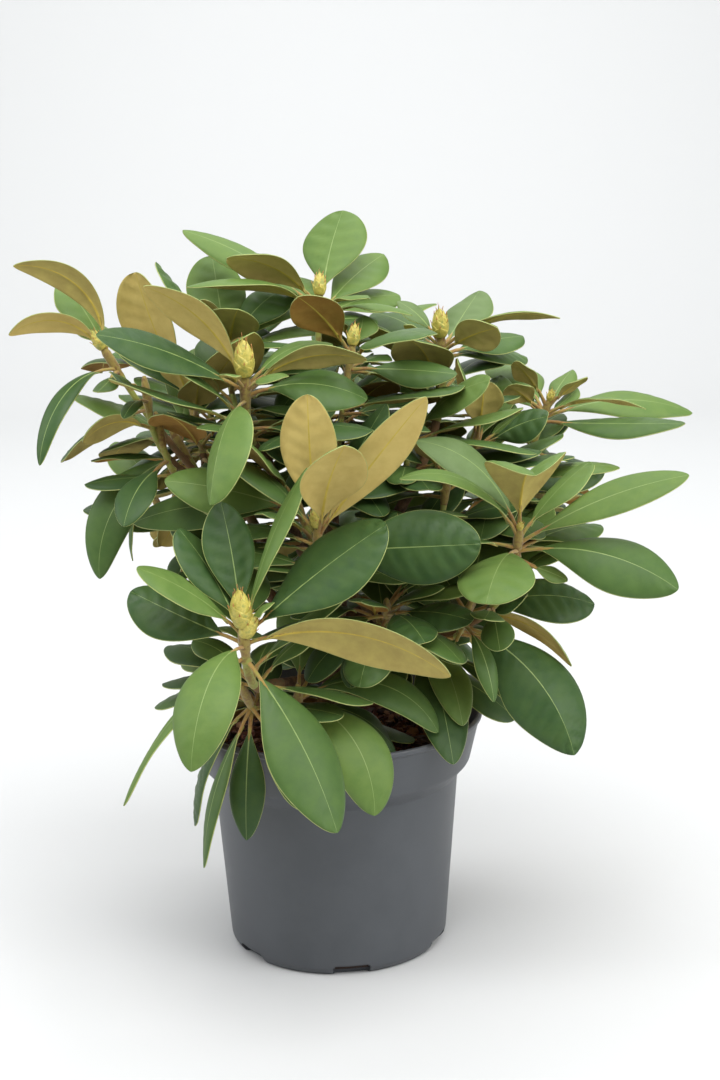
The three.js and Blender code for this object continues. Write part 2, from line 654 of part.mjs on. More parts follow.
function makeGrowingMedium() {
  const inset = wall + seatGap;
  const edge = lerp(collarRadius, rimRadius, (soilEdge - collarHeight) / (potHeight - lipDepth - collarHeight));
  const profile = [
    [0, floorThickness + seatGap], [footRadius - 1 - 2 * seatGap, floorThickness + seatGap],
    [baseRadius - inset, floorThickness + 2 + seatGap], [neckRadius - inset, neckHeight],
    [collarRadius - inset, collarHeight + seatGap], [edge - inset, soilEdge],
    [0.6 * edge, soilTop - 1.5], [soilFlatRadius, soilTop], [0, soilTop],
  ];
  return new THREE.Mesh(geometryOf(shellOf(lathe(profile))), finishes.medium);
}

function makeTrunk() {
  return new THREE.Mesh(geometryOf(trunkShell()), finishes.bark);
}

// A bough is seated on the trunk, cut to the trunk's own faces
function makeBough(mass) {
  const solid = solidOf(boughShell(mass)).subtract(solidOf(trunkShell(seatGap)));
  return new THREE.Mesh(meshGeometry(solid), finishes.bark);
}

function budShells(shoot) {
  if (!shoot.bud) return [];
  const lean = direction(...shoot.lean);
  const buds = [budShell(vector(shoot.at).addScaledVector(lean, -2), shoot.lean, shoot.bud)];
  if (shoot.twin) {
    buds.push(budShell(vector(shoot.at).addScaledVector(lean, -twinDepth), shoot.twin, shoot.bud));
  }
  return buds;
}

function makeMass(mass) {
  const leaves = placed.filter(({ whole }) => whole.owner === mass.name).map(({ leaf }) => leafShell(leaf));
  const shells = [...woodyShells(mass), ...leaves, ...mass.shoots.flatMap(budShells)];
  const solid = shells.map(solidOf).reduce((sum, next) => sum.add(next));
  return new THREE.Mesh(meshGeometry(solid), finishes.foliage);
}

const rhododendron = new THREE.Group();

function add(mesh, name) {
  mesh.name = name;
  rhododendron.add(mesh);
}

add(makePot(), 'pot');
add(makeGrowingMedium(), 'growing_medium');
add(makeTrunk(), 'trunk');
masses.forEach((mass) => {
  if (mass.from < trunkTop.z) add(makeBough(mass), `bough_${mass.name}`);
  add(makeMass(mass), `foliage_${mass.name}`);
});

export default rhododendron;
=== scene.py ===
from math import atan2, cos, hypot, pi, radians, sin, sqrt
import bmesh
import bpy
import numpy as np
from mathutils import Matrix, Vector, noise


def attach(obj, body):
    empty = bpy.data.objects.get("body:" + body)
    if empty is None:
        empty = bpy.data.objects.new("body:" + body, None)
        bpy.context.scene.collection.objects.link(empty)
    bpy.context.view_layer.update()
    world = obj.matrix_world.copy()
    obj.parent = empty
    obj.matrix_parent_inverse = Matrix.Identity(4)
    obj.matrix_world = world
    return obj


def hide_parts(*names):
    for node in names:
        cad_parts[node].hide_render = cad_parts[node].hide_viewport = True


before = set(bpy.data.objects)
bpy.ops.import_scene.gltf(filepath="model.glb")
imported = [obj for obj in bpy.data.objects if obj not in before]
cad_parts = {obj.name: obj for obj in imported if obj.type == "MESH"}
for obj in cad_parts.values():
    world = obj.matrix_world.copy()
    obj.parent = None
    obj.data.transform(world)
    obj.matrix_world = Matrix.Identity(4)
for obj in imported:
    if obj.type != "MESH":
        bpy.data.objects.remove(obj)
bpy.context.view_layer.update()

# shapes are in millimetres and degrees, and scaled to metres when a mesh is made
mm = 0.001
up = np.array([0.0, 0.0, 1.0])
east = np.array([1.0, 0.0, 0.0])

# the pot, as it was moulded; hub is where its floor and the medium close on the axis
pot = {
    "height": 183, "wall": 2, "floor": 3, "hub": 4, "foot": 80, "base": 84, "bevel": 5,
    "neck": 94, "neckHeight": 135, "collar": 103.5, "collarHeight": 146,
    "rim": 111, "lipDepth": 5, "lipStand": 2, "sides": 144, "corner": 1.8,
    "notches": 6, "notchTurn": 37, "notchWidth": 28, "notchHeight": 8, "notchInset": 8,
    "notchRound": 1.5,
}
# the peat in it, a mound with lumps and crumbs, and the loose flakes of bark on top
medium = {
    "top": 165, "edge": 160, "flat": 24, "fall": 1.4, "sides": 120, "rings": 48,
    "relief": 1.6, "lump": 9, "crumb": 2.5, "sink": 0.8, "clear": 40, "seed": 5,
    "chips": 1500, "chipLength": (2.2, 6.5), "crumbs": 2600, "crumbLength": (0.6, 1.6),
    "breadth": (0.35, 0.8), "thickness": (0.15, 0.35), "push": (-0.45, 0.25), "tilt": 0.45,
    "rise": (-0.6, 0.9), "stuffs": (0.4, 0.42, 0.18), "inside": 9,
}
# trunk, boughs and twigs
wood = {
    "foot": (4, 0, 165.3), "top": (-2, 2, 300), "radius": 13, "topRadius": 6,
    "flare": 8, "flareHeight": 20, "bough": 5.2, "boughTip": 4, "boughSteps": 4,
    "stem": 3.8, "stemLength": 12, "twig": 3.6, "twigTip": 2.8, "twigSteps": 4,
    "shoot": 30, "gap": 0.3, "guard": 0.35,
}
# one leaf, and how it stands on its shoot
leafForm = {
    "petiole": 14, "petioleRadius": 1.6, "crest": 1, "fold": -0.1, "shares": (0.2, 0.5, 0.8),
    "seededShares": (0.3, 0.7), "topDepth": 8, "steepRise": 70, "depthPerDegree": 0.2,
    "stations": (46, 30, 20), "thickness": 0.7, "rib": 0.5, "margin": 0.28,
    "groove": 0.6, "keel": 1.2, "grooveWidth": 1.3, "veinGap": 11, "veinLean": 0.14,
    "quilt": (1.25, 2.3), "quiltWidth": 45,
}
petiole = leafForm["petiole"]
# leaves that fill in between the listed ones
seeded = {
    "seed": 11, "tries": 8, "goldenAngle": 137.5, "stray": 30, "rise": (-15, 55),
    "length": (80, 115), "width": (0.36, 0.46), "droop": (12, 52), "roll": 15,
    "lowest": 95, "nearest": -135, "centre": (15, 0, 325), "depth": 215, "eye": (20, -1390, 645),
    "reach": (185, 195, 195, 180, 195, 170, 235, 210, 225, 255, 230, 240,
              200, 170, 165, 220, 225, 190, 185, 185, 185, 230, 180, 170),
}
# older leaves lower on the twigs, by the same rule, which the solids leave out
older = {"seed": 23, "length": (60, 110), "below": (0.42, 0.9), "steps": 40}


def shoot(at, lean, bud, spread, *leaves, twin=None, older=9, dark=()):
    return {"at": np.array(at, float), "lean": lean, "bud": bud, "seeded": spread,
            "leaves": leaves, "twin": twin, "older": older, "dark": dark}


# masses of foliage: where the bough leaves the trunk, where it ends, and its shoots;
# each shoot has its end, its lean (heading, rise), its bud's length, its seeded leaves
# (from, to, count) and its leaves (heading, rise, length, width, droop, roll and, where a
# leaf is creased, fold); dark tells which of the leaves are old
masses = {
    "left_high": (268, (-88, 2, 352), [
        shoot((-163, -21, 468), (200, 60), 14, (60, 170, 2),
              (200, 85, 105, 24, 90, 50), (195, 55, 85, 24, 95, 45), (235, 5, 115, 18, 90, -10),
              (140, 60, 70, 34, 30, 0), (120, 40, 55, 28, 30, 0), (260, -5, 50, 18, 10, 0),
              older=0, dark=(2,)),
        shoot((-103, 11, 424), (150, 75), 0, (30, 330, 3),
              (200, 65, 110, 56, -10, 25), (150, 55, 85, 40, 40, 0), (250, 60, 60, 26, 10, 0),
              (280, 35, 70, 30, 0, 0), dark=(1,)),
        shoot((-125, -30, 420), (130, 70), 0, (60, 200, 1),
              (205, 30, 65, 30, 80, 45), older=2),
        shoot((-132, -29, 446), (120, 75), 0, (60, 200, 1),
              (220, 40, 35, 22, 20, -20), (255, 15, 50, 14, 55, 0), older=0, dark=(0, 1))]),
    "left_low": (228, (-66, 24, 298), [
        shoot((-118, 4, 401), (190, 60), 0, (60, 330, 4),
              (220, -5, 130, 34, 90, -40), (180, -25, 100, 20, 80, 0), (185, -65, 65, 34, 0, 50),
              dark=(1,))]),
    "front_high": (286, (-42, -25, 372), [
        shoot((-57, -71, 454), (270, 80), 24, (20, 160, 3),
              (200, 35, 115, 34, 25, -40), (205, 65, 105, 32, 45, 35), (245, 40, 35, 16, 40, 0),
              (310, 35, 50, 22, 45, 10), (30, 45, 80, 34, 60, 10), (350, 20, 90, 40, 50, 35),
              (255, 0, 110, 46, 80, 30, -0.3), (350, 40, 95, 24, 60, -45), dark=(0,)),
        shoot((-75, 21, 466), (110, 80), 0, (0, 330, 3),
              (105, 50, 85, 46, -10, 0), (35, 55, 75, 40, 40, 20), (175, 55, 85, 42, 5, 0),
              (240, 60, 50, 28, 10, 0), dark=(1, 2))]),
    "top": (300, (-2, 2, 300), [
        shoot((-5, 10, 501), (60, 85), 15, (20, 350, 3),
              (70, 55, 85, 50, 10, 0), (50, 30, 85, 36, 10, 20), (40, 15, 80, 34, 20, 25),
              (110, 30, 50, 28, 10, 0), (165, 40, 120, 30, 25, -25), (205, 50, 85, 36, 50, 35),
              (310, 30, 60, 20, 40, 0), (340, 20, 75, 18, 45, 0), (30, 0, 50, 28, 10, 30)),
        shoot((19, -30, 469), (10, 80), 14, (0, 340, 3),
              (225, 55, 70, 38, 30, 30), (70, 45, 40, 24, 5, 0), (55, 10, 50, 22, 15, 0),
              (345, 5, 80, 28, 15, 35))]),
    "right_high": (284, (60, 2, 352), [
        shoot((84, 18, 468), (260, 75), 20, (20, 330, 3),
              (60, 35, 75, 38, 10, 0), (150, 55, 50, 18, 40, -20), (190, 45, 35, 14, 40, 20),
              (315, 30, 60, 34, 20, -45), (330, 40, 105, 18, 55, -20), (30, 15, 75, 32, 20, 25),
              (45, 5, 100, 34, 25, 20)),
        shoot((62, -18, 408), (60, 70), 0, (0, 360, 4),
              (330, 50, 80, 36, 35, 35)),
        shoot((110, 7, 395), (270, 80), 0, (20, 250, 3),
              (280, 65, 55, 30, 0, 0), (190, 85, 65, 30, 20, 0), (330, 35, 65, 32, 20, 40),
              (15, 40, 50, 20, 20, 10), dark=(2,))]),
    "right": (252, (96, 20, 310), [
        shoot((168, 39, 415), (330, 70), 8, (20, 200, 3),
              (205, 40, 40, 28, 10, 40), (330, 50, 45, 16, 30, -20), (190, 65, 45, 24, 30, 30),
              (60, 35, 60, 20, 20, 0), (120, 25, 55, 20, 20, -20), (50, 20, 50, 16, 0, 0),
              (5, 20, 120, 34, 45, 30), (335, 30, 85, 16, 55, -20), (320, 5, 125, 34, 0, 20)),
        shoot((136, 11, 364), (10, 60), 0, (20, 330, 4),
              (20, 15, 90, 36, 20, 30), (340, 30, 95, 28, 40, 10), dark=(0,))]),
    "front_right": (216, (64, -38, 242), [
        shoot((134, -91, 345), (290, 75), 6, (20, 200, 2),
              (275, 80, 95, 56, 90, 0, 0.5), (350, 35, 130, 34, 25, 35),
              (340, 10, 120, 46, 45, 40, -0.3),
              (210, 60, 120, 22, 70, -20), (165, 70, 105, 34, 65, -25), (250, 10, 85, 54, 55, 0),
              (340, -20, 40, 14, 0, 30), (35, 15, 80, 36, 25, 10)),
        shoot((104, -53, 284), (300, 60), 0, (0, 220, 3),
              (10, 20, 100, 48, 45, 30), (330, 25, 50, 30, 10, 20), (332, 12, 95, 24, 72, -50),
              dark=(0, 1)),
        shoot((101, -80, 289), (300, 60), 0, (0, 220, 1),
              (325, -15, 130, 56, 60, 35, -0.35), (290, -10, 75, 16, 70, 0),
              (250, -25, 35, 26, 30, -30),
              older=2, dark=(0,))]),
    "right_low": (190, (45, 4, 206), [
        shoot((82, 3, 244), (350, 45), 0, (10, 300, 3),
              (285, 10, 110, 30, 65, 0), (280, 0, 130, 38, 60, 0), (320, 0, 125, 18, 50, 0),
              dark=(1, 2))]),
    "front": (240, (8, -48, 290), [
        shoot((-8, -111, 354), (260, 80), 14, (10, 180, 3),
              (250, 85, 100, 42, 5, 0), (290, 60, 95, 46, 20, 0), (330, 55, 135, 34, 10, -45),
              (45, 55, 110, 30, 10, 0), (345, 5, 115, 52, 0, 75), dark=(3, 4)),
        shoot((86, -41, 377), (60, 75), 14, (0, 360, 4),
              (215, 60, 40, 24, 10, 0), (340, 45, 30, 20, 20, 0)),
        shoot((-26, -71, 368), (200, 70), 0, (20, 340, 4),
              (190, 25, 100, 38, 20, -50), (215, 60, 75, 46, 25, -10), (175, 15, 125, 34, 40, -45)),
        shoot((40, -79, 290), (270, 50), 0, (0, 360, 4),
              (250, -15, 70, 36, 35, 0), (330, 15, 70, 34, 30, 20), (215, 5, 55, 30, 35, -15),
              (290, 15, 75, 34, 40, 0), dark=(0, 1, 2, 3))]),
    "front_low": (214, (-38, -72, 226), [
        shoot((-59, -152, 296), (260, 75), 25, (10, 140, 3),
              (195, 50, 90, 34, 30, -25), (150, 60, 85, 36, 15, -10), (115, 70, 90, 38, 5, 0),
              (20, 75, 120, 26, 20, 0), (330, 60, 35, 18, 50, 20), (0, 45, 125, 58, 15, 40),
              (350, 20, 150, 44, 60, -60), (320, -40, 135, 54, 30, 15), (250, 10, 125, 44, 95, 0),
              (195, -30, 135, 16, 40, 0), (160, 20, 90, 44, 0, -35), twin=(330, 60),
              dark=(1, 2, 5, 10)),
        shoot((-63, -119, 241), (255, 50), 0, (20, 230, 3),
              (260, -55, 95, 26, 40, 0), (230, -45, 120, 20, 40, 20), (315, -35, 85, 28, 40, 0),
              (165, -40, 110, 40, 55, -20), dark=(2, 3))]),
    "near_low": (186, (-4, -46, 204), [
        shoot((-25, -83, 229), (270, 60), 0, (0, 200, 4),
              (350, 30, 120, 32, 95, 30), (310, 5, 120, 44, 95, 20), (355, 0, 85, 36, 65, 10),
              (10, 25, 60, 26, 20, 25), dark=(0, 2))]),
    "back_left": (246, (-60, 52, 315), [
        shoot((-107, 107, 430), (130, 60), 14, (0, 360, 7)),
        shoot((-144, 97, 329), (150, 40), 0, (0, 360, 6))]),
    "back_high": (276, (2, 58, 345), [
        shoot((20, 118, 455), (80, 65), 14, (0, 360, 7)),
        shoot((5, 170, 369), (90, 40), 14, (0, 360, 7))]),
    "back_right": (226, (70, 60, 290), [
        shoot((127, 122, 405), (45, 60), 14, (0, 360, 7)),
        shoot((139, 133, 318), (40, 35), 0, (0, 360, 7))]),
    "back_low": (200, (0, 62, 230), [
        shoot((-57, 145, 253), (115, 30), 0, (0, 360, 7)),
        shoot((67, 140, 248), (65, 30), 0, (0, 360, 7))]),
}


def unit(vector):
    return vector / np.linalg.norm(vector)


def direction(heading, rise):
    turn, lift = radians(heading), radians(rise)
    level = cos(lift)
    return np.array([level * cos(turn), level * sin(turn), sin(lift)])


def mix(low, high, share):
    return low + (high - low) * share


def hump(distance, width):
    return np.exp(-(distance / width) ** 2)


def circle(sides):
    return 2 * np.pi * np.arange(sides) / sides


def awayFrom(axis):
    return up if abs(axis[2]) < 0.9 else east


def crossAxes(tangent, reference):
    across = unit(np.cross(reference, tangent))
    return across, np.cross(tangent, across)


def ringAt(centre, tangent, radius, sides, reference):
    # a ring of points; the radius may differ from one to the next
    across, over = crossAxes(tangent, reference)
    turns, radii = circle(sides), np.reshape(radius, (-1, 1))
    return centre + radii * (np.outer(np.cos(turns), across) + np.outer(np.sin(turns), over))


def bend(start, knee, end, steps):
    # points on a curved limb, each with its direction
    stations = []
    for t in np.linspace(0, 1, steps + 1):
        point = (1 - t) ** 2 * start + 2 * t * (1 - t) * knee + t * t * end
        stations.append((point, unit((1 - t) * (knee - start) + t * (end - knee))))
    return stations


def trunkAxis(height):
    foot, top = np.array(wood["foot"], float), np.array(wood["top"], float)
    return mix(foot, top, (height - foot[2]) / (top[2] - foot[2]))


def trunkRadius(height):
    above = height - wood["foot"][2]
    share = above / (wood["top"][2] - wood["foot"][2])
    flare = max(0, 1 - above / wood["flareHeight"]) ** 2
    return mix(wood["radius"], wood["topRadius"], share) + wood["flare"] * flare


def boughCurve(start, tip, steps):
    # starts inside the trunk, leaves it sideways and climbs to its tip
    axis, tip = trunkAxis(start), np.array(tip, float)
    outward = unit((tip - axis) * (1, 1, 0))
    begin = axis + outward * trunkRadius(start)
    knee = np.append(mix(begin[:2], tip[:2], 0.55), mix(begin[2], tip[2], 0.3))
    stations = bend(begin, knee, tip, steps)
    inside = begin - stations[0][1] * 0.8 * trunkRadius(start)
    return [(inside, stations[0][1])] + stations


def stemLine(start, tip):
    onward = up
    if start < wood["top"][2]:
        onward = boughCurve(start, tip, wood["boughSteps"])[-1][1]
    begin = np.array(tip, float) + onward * wood["gap"]
    return [(begin, onward), (begin + onward * wood["stemLength"], onward)]


def twigCurve(start, tip, spray, steps):
    stemEnd, onward = stemLine(start, tip)[-1]
    lean = direction(*spray["lean"])
    neck = spray["at"] - lean * wood["shoot"]
    knee = neck - lean * 0.45 * np.linalg.norm(neck - stemEnd)
    return bend(stemEnd - onward * 2, knee, neck, steps) + [(spray["at"], lean)]


def outline(share):
    # half width at a share of the blade
    return np.sin(np.pi * np.clip(share, 0, 1) ** 1.2) ** (0.95 - 0.35 * np.asarray(share))


def midrib(leaf, distance):
    # the rib leaves its root straight, then droops along an arc and is rolled about it
    distance = np.atleast_1d(np.asarray(distance, float))
    ahead = direction(leaf["heading"], 0)
    rise = radians(leaf["rise"])
    droop = radians(leaf["droop"]) / (leaf["length"] - petiole)
    past, straight = np.maximum(0, distance - petiole), np.minimum(distance, petiole)
    pitch = rise - droop * past
    if leaf["droop"] == 0:
        along, climb = past * cos(rise), past * sin(rise)
    else:
        along = (sin(rise) - np.sin(pitch)) / droop
        climb = (np.cos(pitch) - cos(rise)) / droop
    along, climb = along + straight * cos(rise), climb + straight * sin(rise)
    point = leaf["root"] + np.outer(along, ahead) + np.outer(climb, up)
    tangent = np.outer(np.cos(pitch), ahead) + np.outer(np.sin(pitch), up)
    normal = np.outer(-np.sin(pitch), ahead) + np.outer(np.cos(pitch), up)
    left = np.cross(normal, tangent)
    cosine, sine = cos(radians(leaf["roll"])), sin(radians(leaf["roll"]))
    return point, cosine * left + sine * normal, cosine * normal - sine * left


def makeLeaf(spray, shares, *settings):
    # flatter leaves grow from lower on the shoot
    leaf = {"fold": leafForm["fold"], "shares": shares}
    leaf.update(zip(("heading", "rise", "length", "width", "droop", "roll", "fold"), settings))
    flatness = max(0, leafForm["steepRise"] - leaf["rise"])
    below = leafForm["topDepth"] + leafForm["depthPerDegree"] * flatness
    leaf["root"] = spray["at"] - direction(*spray["lean"]) * below
    return leaf


def loft(rings, tip=None):
    # rings joined into one shell of triangles, for the touch tests
    sides, last = len(rings[0]), (len(rings) - 1) * len(rings[0])
    points = np.vstack(rings + ([tip] if tip is not None else []))
    faces = []
    for ring in range(len(rings) - 1):
        for side in range(sides):
            a, b = ring * sides + side, ring * sides + (side + 1) % sides
            faces += [(a, b, b + sides), (a, b + sides, a + sides)]
    for side in range(1, sides - 1):
        faces.append((0, side + 1, side))
        if tip is None:
            faces.append((last, last + side, last + side + 1))
    if tip is not None:
        end = len(points) - 1
        faces += [(last + side, last + (side + 1) % sides, end) for side in range(sides)]
    return points, np.array(faces)


def limbShell(stations, startRadius, endRadius, sides, grow):
    reference = awayFrom(unit(stations[-1][0] - stations[0][0]))
    rings = []
    for index, (point, tangent) in enumerate(stations):
        past = {0: -grow, len(stations) - 1: grow}.get(index, 0)
        radius = mix(startRadius, endRadius, index / (len(stations) - 1)) + grow
        rings.append(ringAt(point + tangent * past, tangent, radius, sides, reference))
    return loft(rings)


def leafShell(leaf, grow, withRoot):
    def section(distance, half, crest, margin):
        point, left, normal = (row[0] for row in midrib(leaf, distance))
        return np.array([point + left * half + normal * margin, point + normal * crest,
                         point - left * half + normal * margin])

    stem = leafForm["petioleRadius"] + grow
    starts = (0, petiole) if withRoot else (petiole,)
    rings = [section(distance, stem, stem, -stem / 2) for distance in starts]
    for share in leaf["shares"]:
        half = leaf["width"] / 2 * outline(share) + grow
        rings.append(section(mix(petiole, leaf["length"], share), half,
                             leafForm["crest"] + grow, leaf["fold"] * half - 2 * grow))
    return loft(rings, midrib(leaf, leaf["length"] + grow)[0])


def guard(shell, owner):
    points, faces = shell
    pairs = np.sort(np.vstack([faces[:, [0, 1]], faces[:, [1, 2]], faces[:, [2, 0]]]), axis=1)
    return {"points": points, "faces": faces, "edges": np.unique(pairs, axis=0),
            "owner": owner, "low": points.min(0), "high": points.max(0)}


def edgesEnter(one, other):
    # whether an edge of one shell runs through a triangle of the other
    start, end = one["points"][one["edges"][:, 0]], one["points"][one["edges"][:, 1]]
    highest, lowest = np.maximum(start, end), np.minimum(start, end)
    near = ((highest >= other["low"]) & (lowest <= other["high"])).all(1)
    start, step = start[near][:, None], (end - start)[near][:, None]
    corner, second, third = (other["points"][column][None] for column in other["faces"].T)
    sideA, sideB = second - corner, third - corner
    cross = np.cross(step, sideB)
    size = (cross * sideA).sum(-1)
    sound = abs(size) > 1e-9
    scale = np.where(sound, 1 / np.where(sound, size, 1), 0)
    offset = start - corner
    u = (offset * cross).sum(-1) * scale
    turned = np.cross(offset, sideA)
    v = (step * turned).sum(-1) * scale
    t = (sideB * turned).sum(-1) * scale
    return bool((sound & (u >= 0) & (v >= 0) & (u + v <= 1) & (t >= 0) & (t <= 1)).any())


def touches(one, other):
    if (one["low"] > other["high"]).any() or (one["high"] < other["low"]).any():
        return False
    return edgesEnter(one, other) or edgesEnter(other, one)


def limbGuards():
    # shells round the trunk, the pot, the boughs and the twigs
    grow, stand = wood["guard"], 2
    foot, rise = wood["foot"][2], wood["top"][2] - wood["foot"][2]
    heights = [foot + rise * share for share in (0, 0.04, 0.08, 0.15, 0.4, 0.7, 1)]
    rings = [ringAt(trunkAxis(z), up, trunkRadius(z) + grow, 10, east) for z in heights]
    lip, rimTop, ground = pot["rim"] + pot["lipStand"] + stand, pot["height"] + 1, medium["top"] + 1
    keepOut = ((pot["base"] + stand, -1), (pot["neck"] + stand, pot["neckHeight"] - 1),
               (pot["collar"] + stand, pot["collarHeight"] - 2),
               (lip, pot["height"] - pot["lipDepth"] - 1), (lip, rimTop), (pot["rim"] - 5, rimTop),
               (pot["collar"] - 3, ground), (1, ground))
    potRings = [ringAt(up * z, up, radius, 24, east) for radius, z in keepOut]
    guards = [guard(loft(rings), "trunk"), guard(loft(potRings), "pot")]

    def add(stations, radius, tipRadius, sides, owner):
        shell = limbShell(stations, wood[radius], wood[tipRadius], sides, grow)
        guards.append(guard(shell, owner))

    for name, (start, tip, sprays) in masses.items():
        if start < wood["top"][2]:
            add(boughCurve(start, tip, wood["boughSteps"]), "bough", "boughTip", 5, "bough")
        add(stemLine(start, tip), "boughTip", "stem", 4, name)
        for spray in sprays:
            add(twigCurve(start, tip, spray, wood["twigSteps"]), "twig", "twigTip", 4, name)
    return guards


def random(counter):
    # the small generator that the source uses, so both grow the same leaves
    def draw():
        nonlocal counter
        counter = (counter + 0x6D2B79F5) & 0xFFFFFFFF
        mixed = ((counter ^ (counter >> 15)) * (counter | 1)) & 0xFFFFFFFF
        mixed ^= (mixed + (((mixed ^ (mixed >> 7)) * (mixed | 61)) & 0xFFFFFFFF)) & 0xFFFFFFFF
        return (mixed ^ (mixed >> 14)) / 4294967296
    return draw


def outlineAllows(point):
    # whether the point lies inside the crown's outline, seen from the front
    eye = np.array(seeded["eye"], float)
    seen = point - eye
    seen = seen * (-eye[1] / seen[1]) + eye - np.array(seeded["centre"], float)
    reach = seeded["reach"]
    turn = (atan2(seen[2], seen[0]) / (2 * pi) + 1) * len(reach)
    before = int(turn)
    low, high = reach[before % len(reach)], reach[(before + 1) % len(reach)]
    return hypot(seen[0], seen[2]) < mix(low, high, turn - before)


def staysInCrown(leaf):
    tip = midrib(leaf, leaf["length"])[0][0]
    middle, left, _ = (row[0] for row in midrib(leaf, mix(petiole, leaf["length"], 0.5)))
    sides = [middle + left * side * leaf["width"] / 2 for side in (1, -1)]
    centre = seeded["centre"]
    depth = hypot(tip[1] - centre[1], tip[2] - centre[2]) / seeded["depth"]
    inside = tip[2] > seeded["lowest"] and tip[1] > seeded["nearest"] and depth < 1
    return inside and all(outlineAllows(point) for point in [tip] + sides)


guards = limbGuards()
placed = []


def placeLeaf(leaf, name, dark=False):
    # blades keep clear of everything; a petiole may run into the twigs of its own mass
    whole = guard(leafShell(leaf, wood["guard"], True), name)
    blade = guard(leafShell(leaf, wood["guard"], False), name)
    if any(touches(blade if other["owner"] == name else whole, other) for other in guards):
        return False
    for other in placed:
        own = other["mass"] == name
        if touches(blade, other["blade"]) if own else touches(whole, other["whole"]):
            return False
    placed.append({"leaf": leaf, "whole": whole, "blade": blade, "mass": name, "dark": dark})
    return True


def seedLeaves(name, spray, draw, spread, lengths, roots=None):
    # draws leaves round a shoot, or from roots along its twig, until enough find room
    begin, end, count = spread
    grown = 0
    for turn in range(count * seeded["tries"]):
        if end - begin == 360:
            heading = (turn * seeded["goldenAngle"] + seeded["stray"] * draw()) % 360
        else:
            heading = mix(begin, end, draw())
        rise = mix(seeded["rise"][1], seeded["rise"][0], (turn % count + draw()) / count)
        length = mix(*lengths, draw())
        width = length * mix(*seeded["width"], draw())
        droop = mix(*seeded["droop"], draw())
        roll = mix(-seeded["roll"], seeded["roll"], draw())
        shares = leafForm["seededShares"]
        leaf = makeLeaf(spray, shares, heading, rise, length, width, droop, roll)
        if roots:
            leaf["root"] = roots[int(draw() * len(roots))]
        if grown < count and staysInCrown(leaf) and placeLeaf(leaf, name):
            grown += 1


def growAll():
    # listed leaves come first, then seeded ones, then older ones
    sprays = [(name, start, tip, spray) for name, (start, tip, group) in masses.items()
              for spray in group]
    for name, _, _, spray in sprays:
        for index, settings in enumerate(spray["leaves"]):
            leaf = makeLeaf(spray, leafForm["shares"], *settings)
            if not placeLeaf(leaf, name, index in spray["dark"]):
                print("no room for", name, settings)
    shown = len(placed)
    draw = random(seeded["seed"])
    for name, _, _, spray in sprays:
        seedLeaves(name, spray, draw, spray["seeded"], seeded["length"])
    young = len(placed)
    draw = random(older["seed"])
    for name, start, tip, spray in sprays:
        curve = twigCurve(start, tip, spray, older["steps"])[:-1]
        low, high = (int(share * len(curve)) for share in older["below"])
        roots = [point for point, _ in curve[low:high]]
        seedLeaves(name, spray, draw, (0, 360, spray["older"]), older["length"], roots)
    for index, item in enumerate(placed):
        item["age"] = 0 if index < shown else 1 if index < young else 2
    print("leaves:", shown, "by hand,", young - shown, "seeded,", len(placed) - young, "older")


def colour(hexCode):
    # sRGB hex to the linear values that the shader takes
    parts = [int(hexCode[at:at + 2], 16) / 255 for at in (1, 3, 5)]
    linear = [part / 12.92 if part <= 0.04045 else ((part + 0.055) / 1.055) ** 2.4
              for part in parts]
    return (*linear, 1)


def addNode(tree, kind, inputs=None, stops=None):
    # adds a node, sets its inputs and stops, and links inputs given as sockets
    node = tree.nodes.new(kind)
    for name, value in (inputs or {}).items():
        if isinstance(value, bpy.types.NodeSocket):
            tree.links.new(value, node.inputs[name])
        else:
            node.inputs[name].default_value = value
    if stops:
        while len(node.color_ramp.elements) < len(stops):
            node.color_ramp.elements.new(0.5)
        for element, (position, shade) in zip(node.color_ramp.elements, stops):
            element.position, element.color = position, shade
    return node


def newMaterial(name, **shader):
    # a material with its even values, and the position that its patterns are drawn in
    material = bpy.data.materials.new(name)
    material.use_nodes = True
    tree = material.node_tree
    surface = tree.nodes["Principled BSDF"]
    for socket, value in shader.items():
        surface.inputs[socket.replace("_", " ")].default_value = value
    position = addNode(tree, "ShaderNodeTexCoord").outputs["Object"]
    material.diffuse_color = shader["Base_Color"]
    return material, tree, surface, position


def mottled(name, shades, spot, grain, depth, roughness, **shader):
    # natural stuff: one noise shifts the colour and gloss over spots, one raises a fine grain
    material, tree, surface, position = newMaterial(name, Base_Color=colour(shades[0]), **shader)
    patches = addNode(tree, "ShaderNodeTexNoise", {
        "Vector": position, "Scale": 1 / (spot * mm), "Detail": 4.0, "Roughness": 0.6})
    low, high = 0.35, 0.65
    stops = [(mix(low, high, index / (len(shades) - 1)), colour(shade))
             for index, shade in enumerate(shades)]
    tint = addNode(tree, "ShaderNodeValToRGB", {"Fac": patches.outputs["Fac"]}, stops=stops)
    pits = addNode(tree, "ShaderNodeTexNoise", {
        "Vector": position, "Scale": 1 / (grain * mm), "Detail": 3.0, "Roughness": 0.55})
    gloss = addNode(tree, "ShaderNodeMapRange", {
        "Value": patches.outputs["Fac"], "From Min": low, "From Max": high,
        "To Min": roughness[0], "To Max": roughness[1]})
    relief = addNode(tree, "ShaderNodeBump", {
        "Height": pits.outputs["Fac"], "Strength": 1.0, "Distance": depth * mm})
    tree.links.new(tint.outputs["Color"], surface.inputs["Base Color"])
    tree.links.new(gloss.outputs["Result"], surface.inputs["Roughness"])
    tree.links.new(relief.outputs["Normal"], surface.inputs["Normal"])
    return material


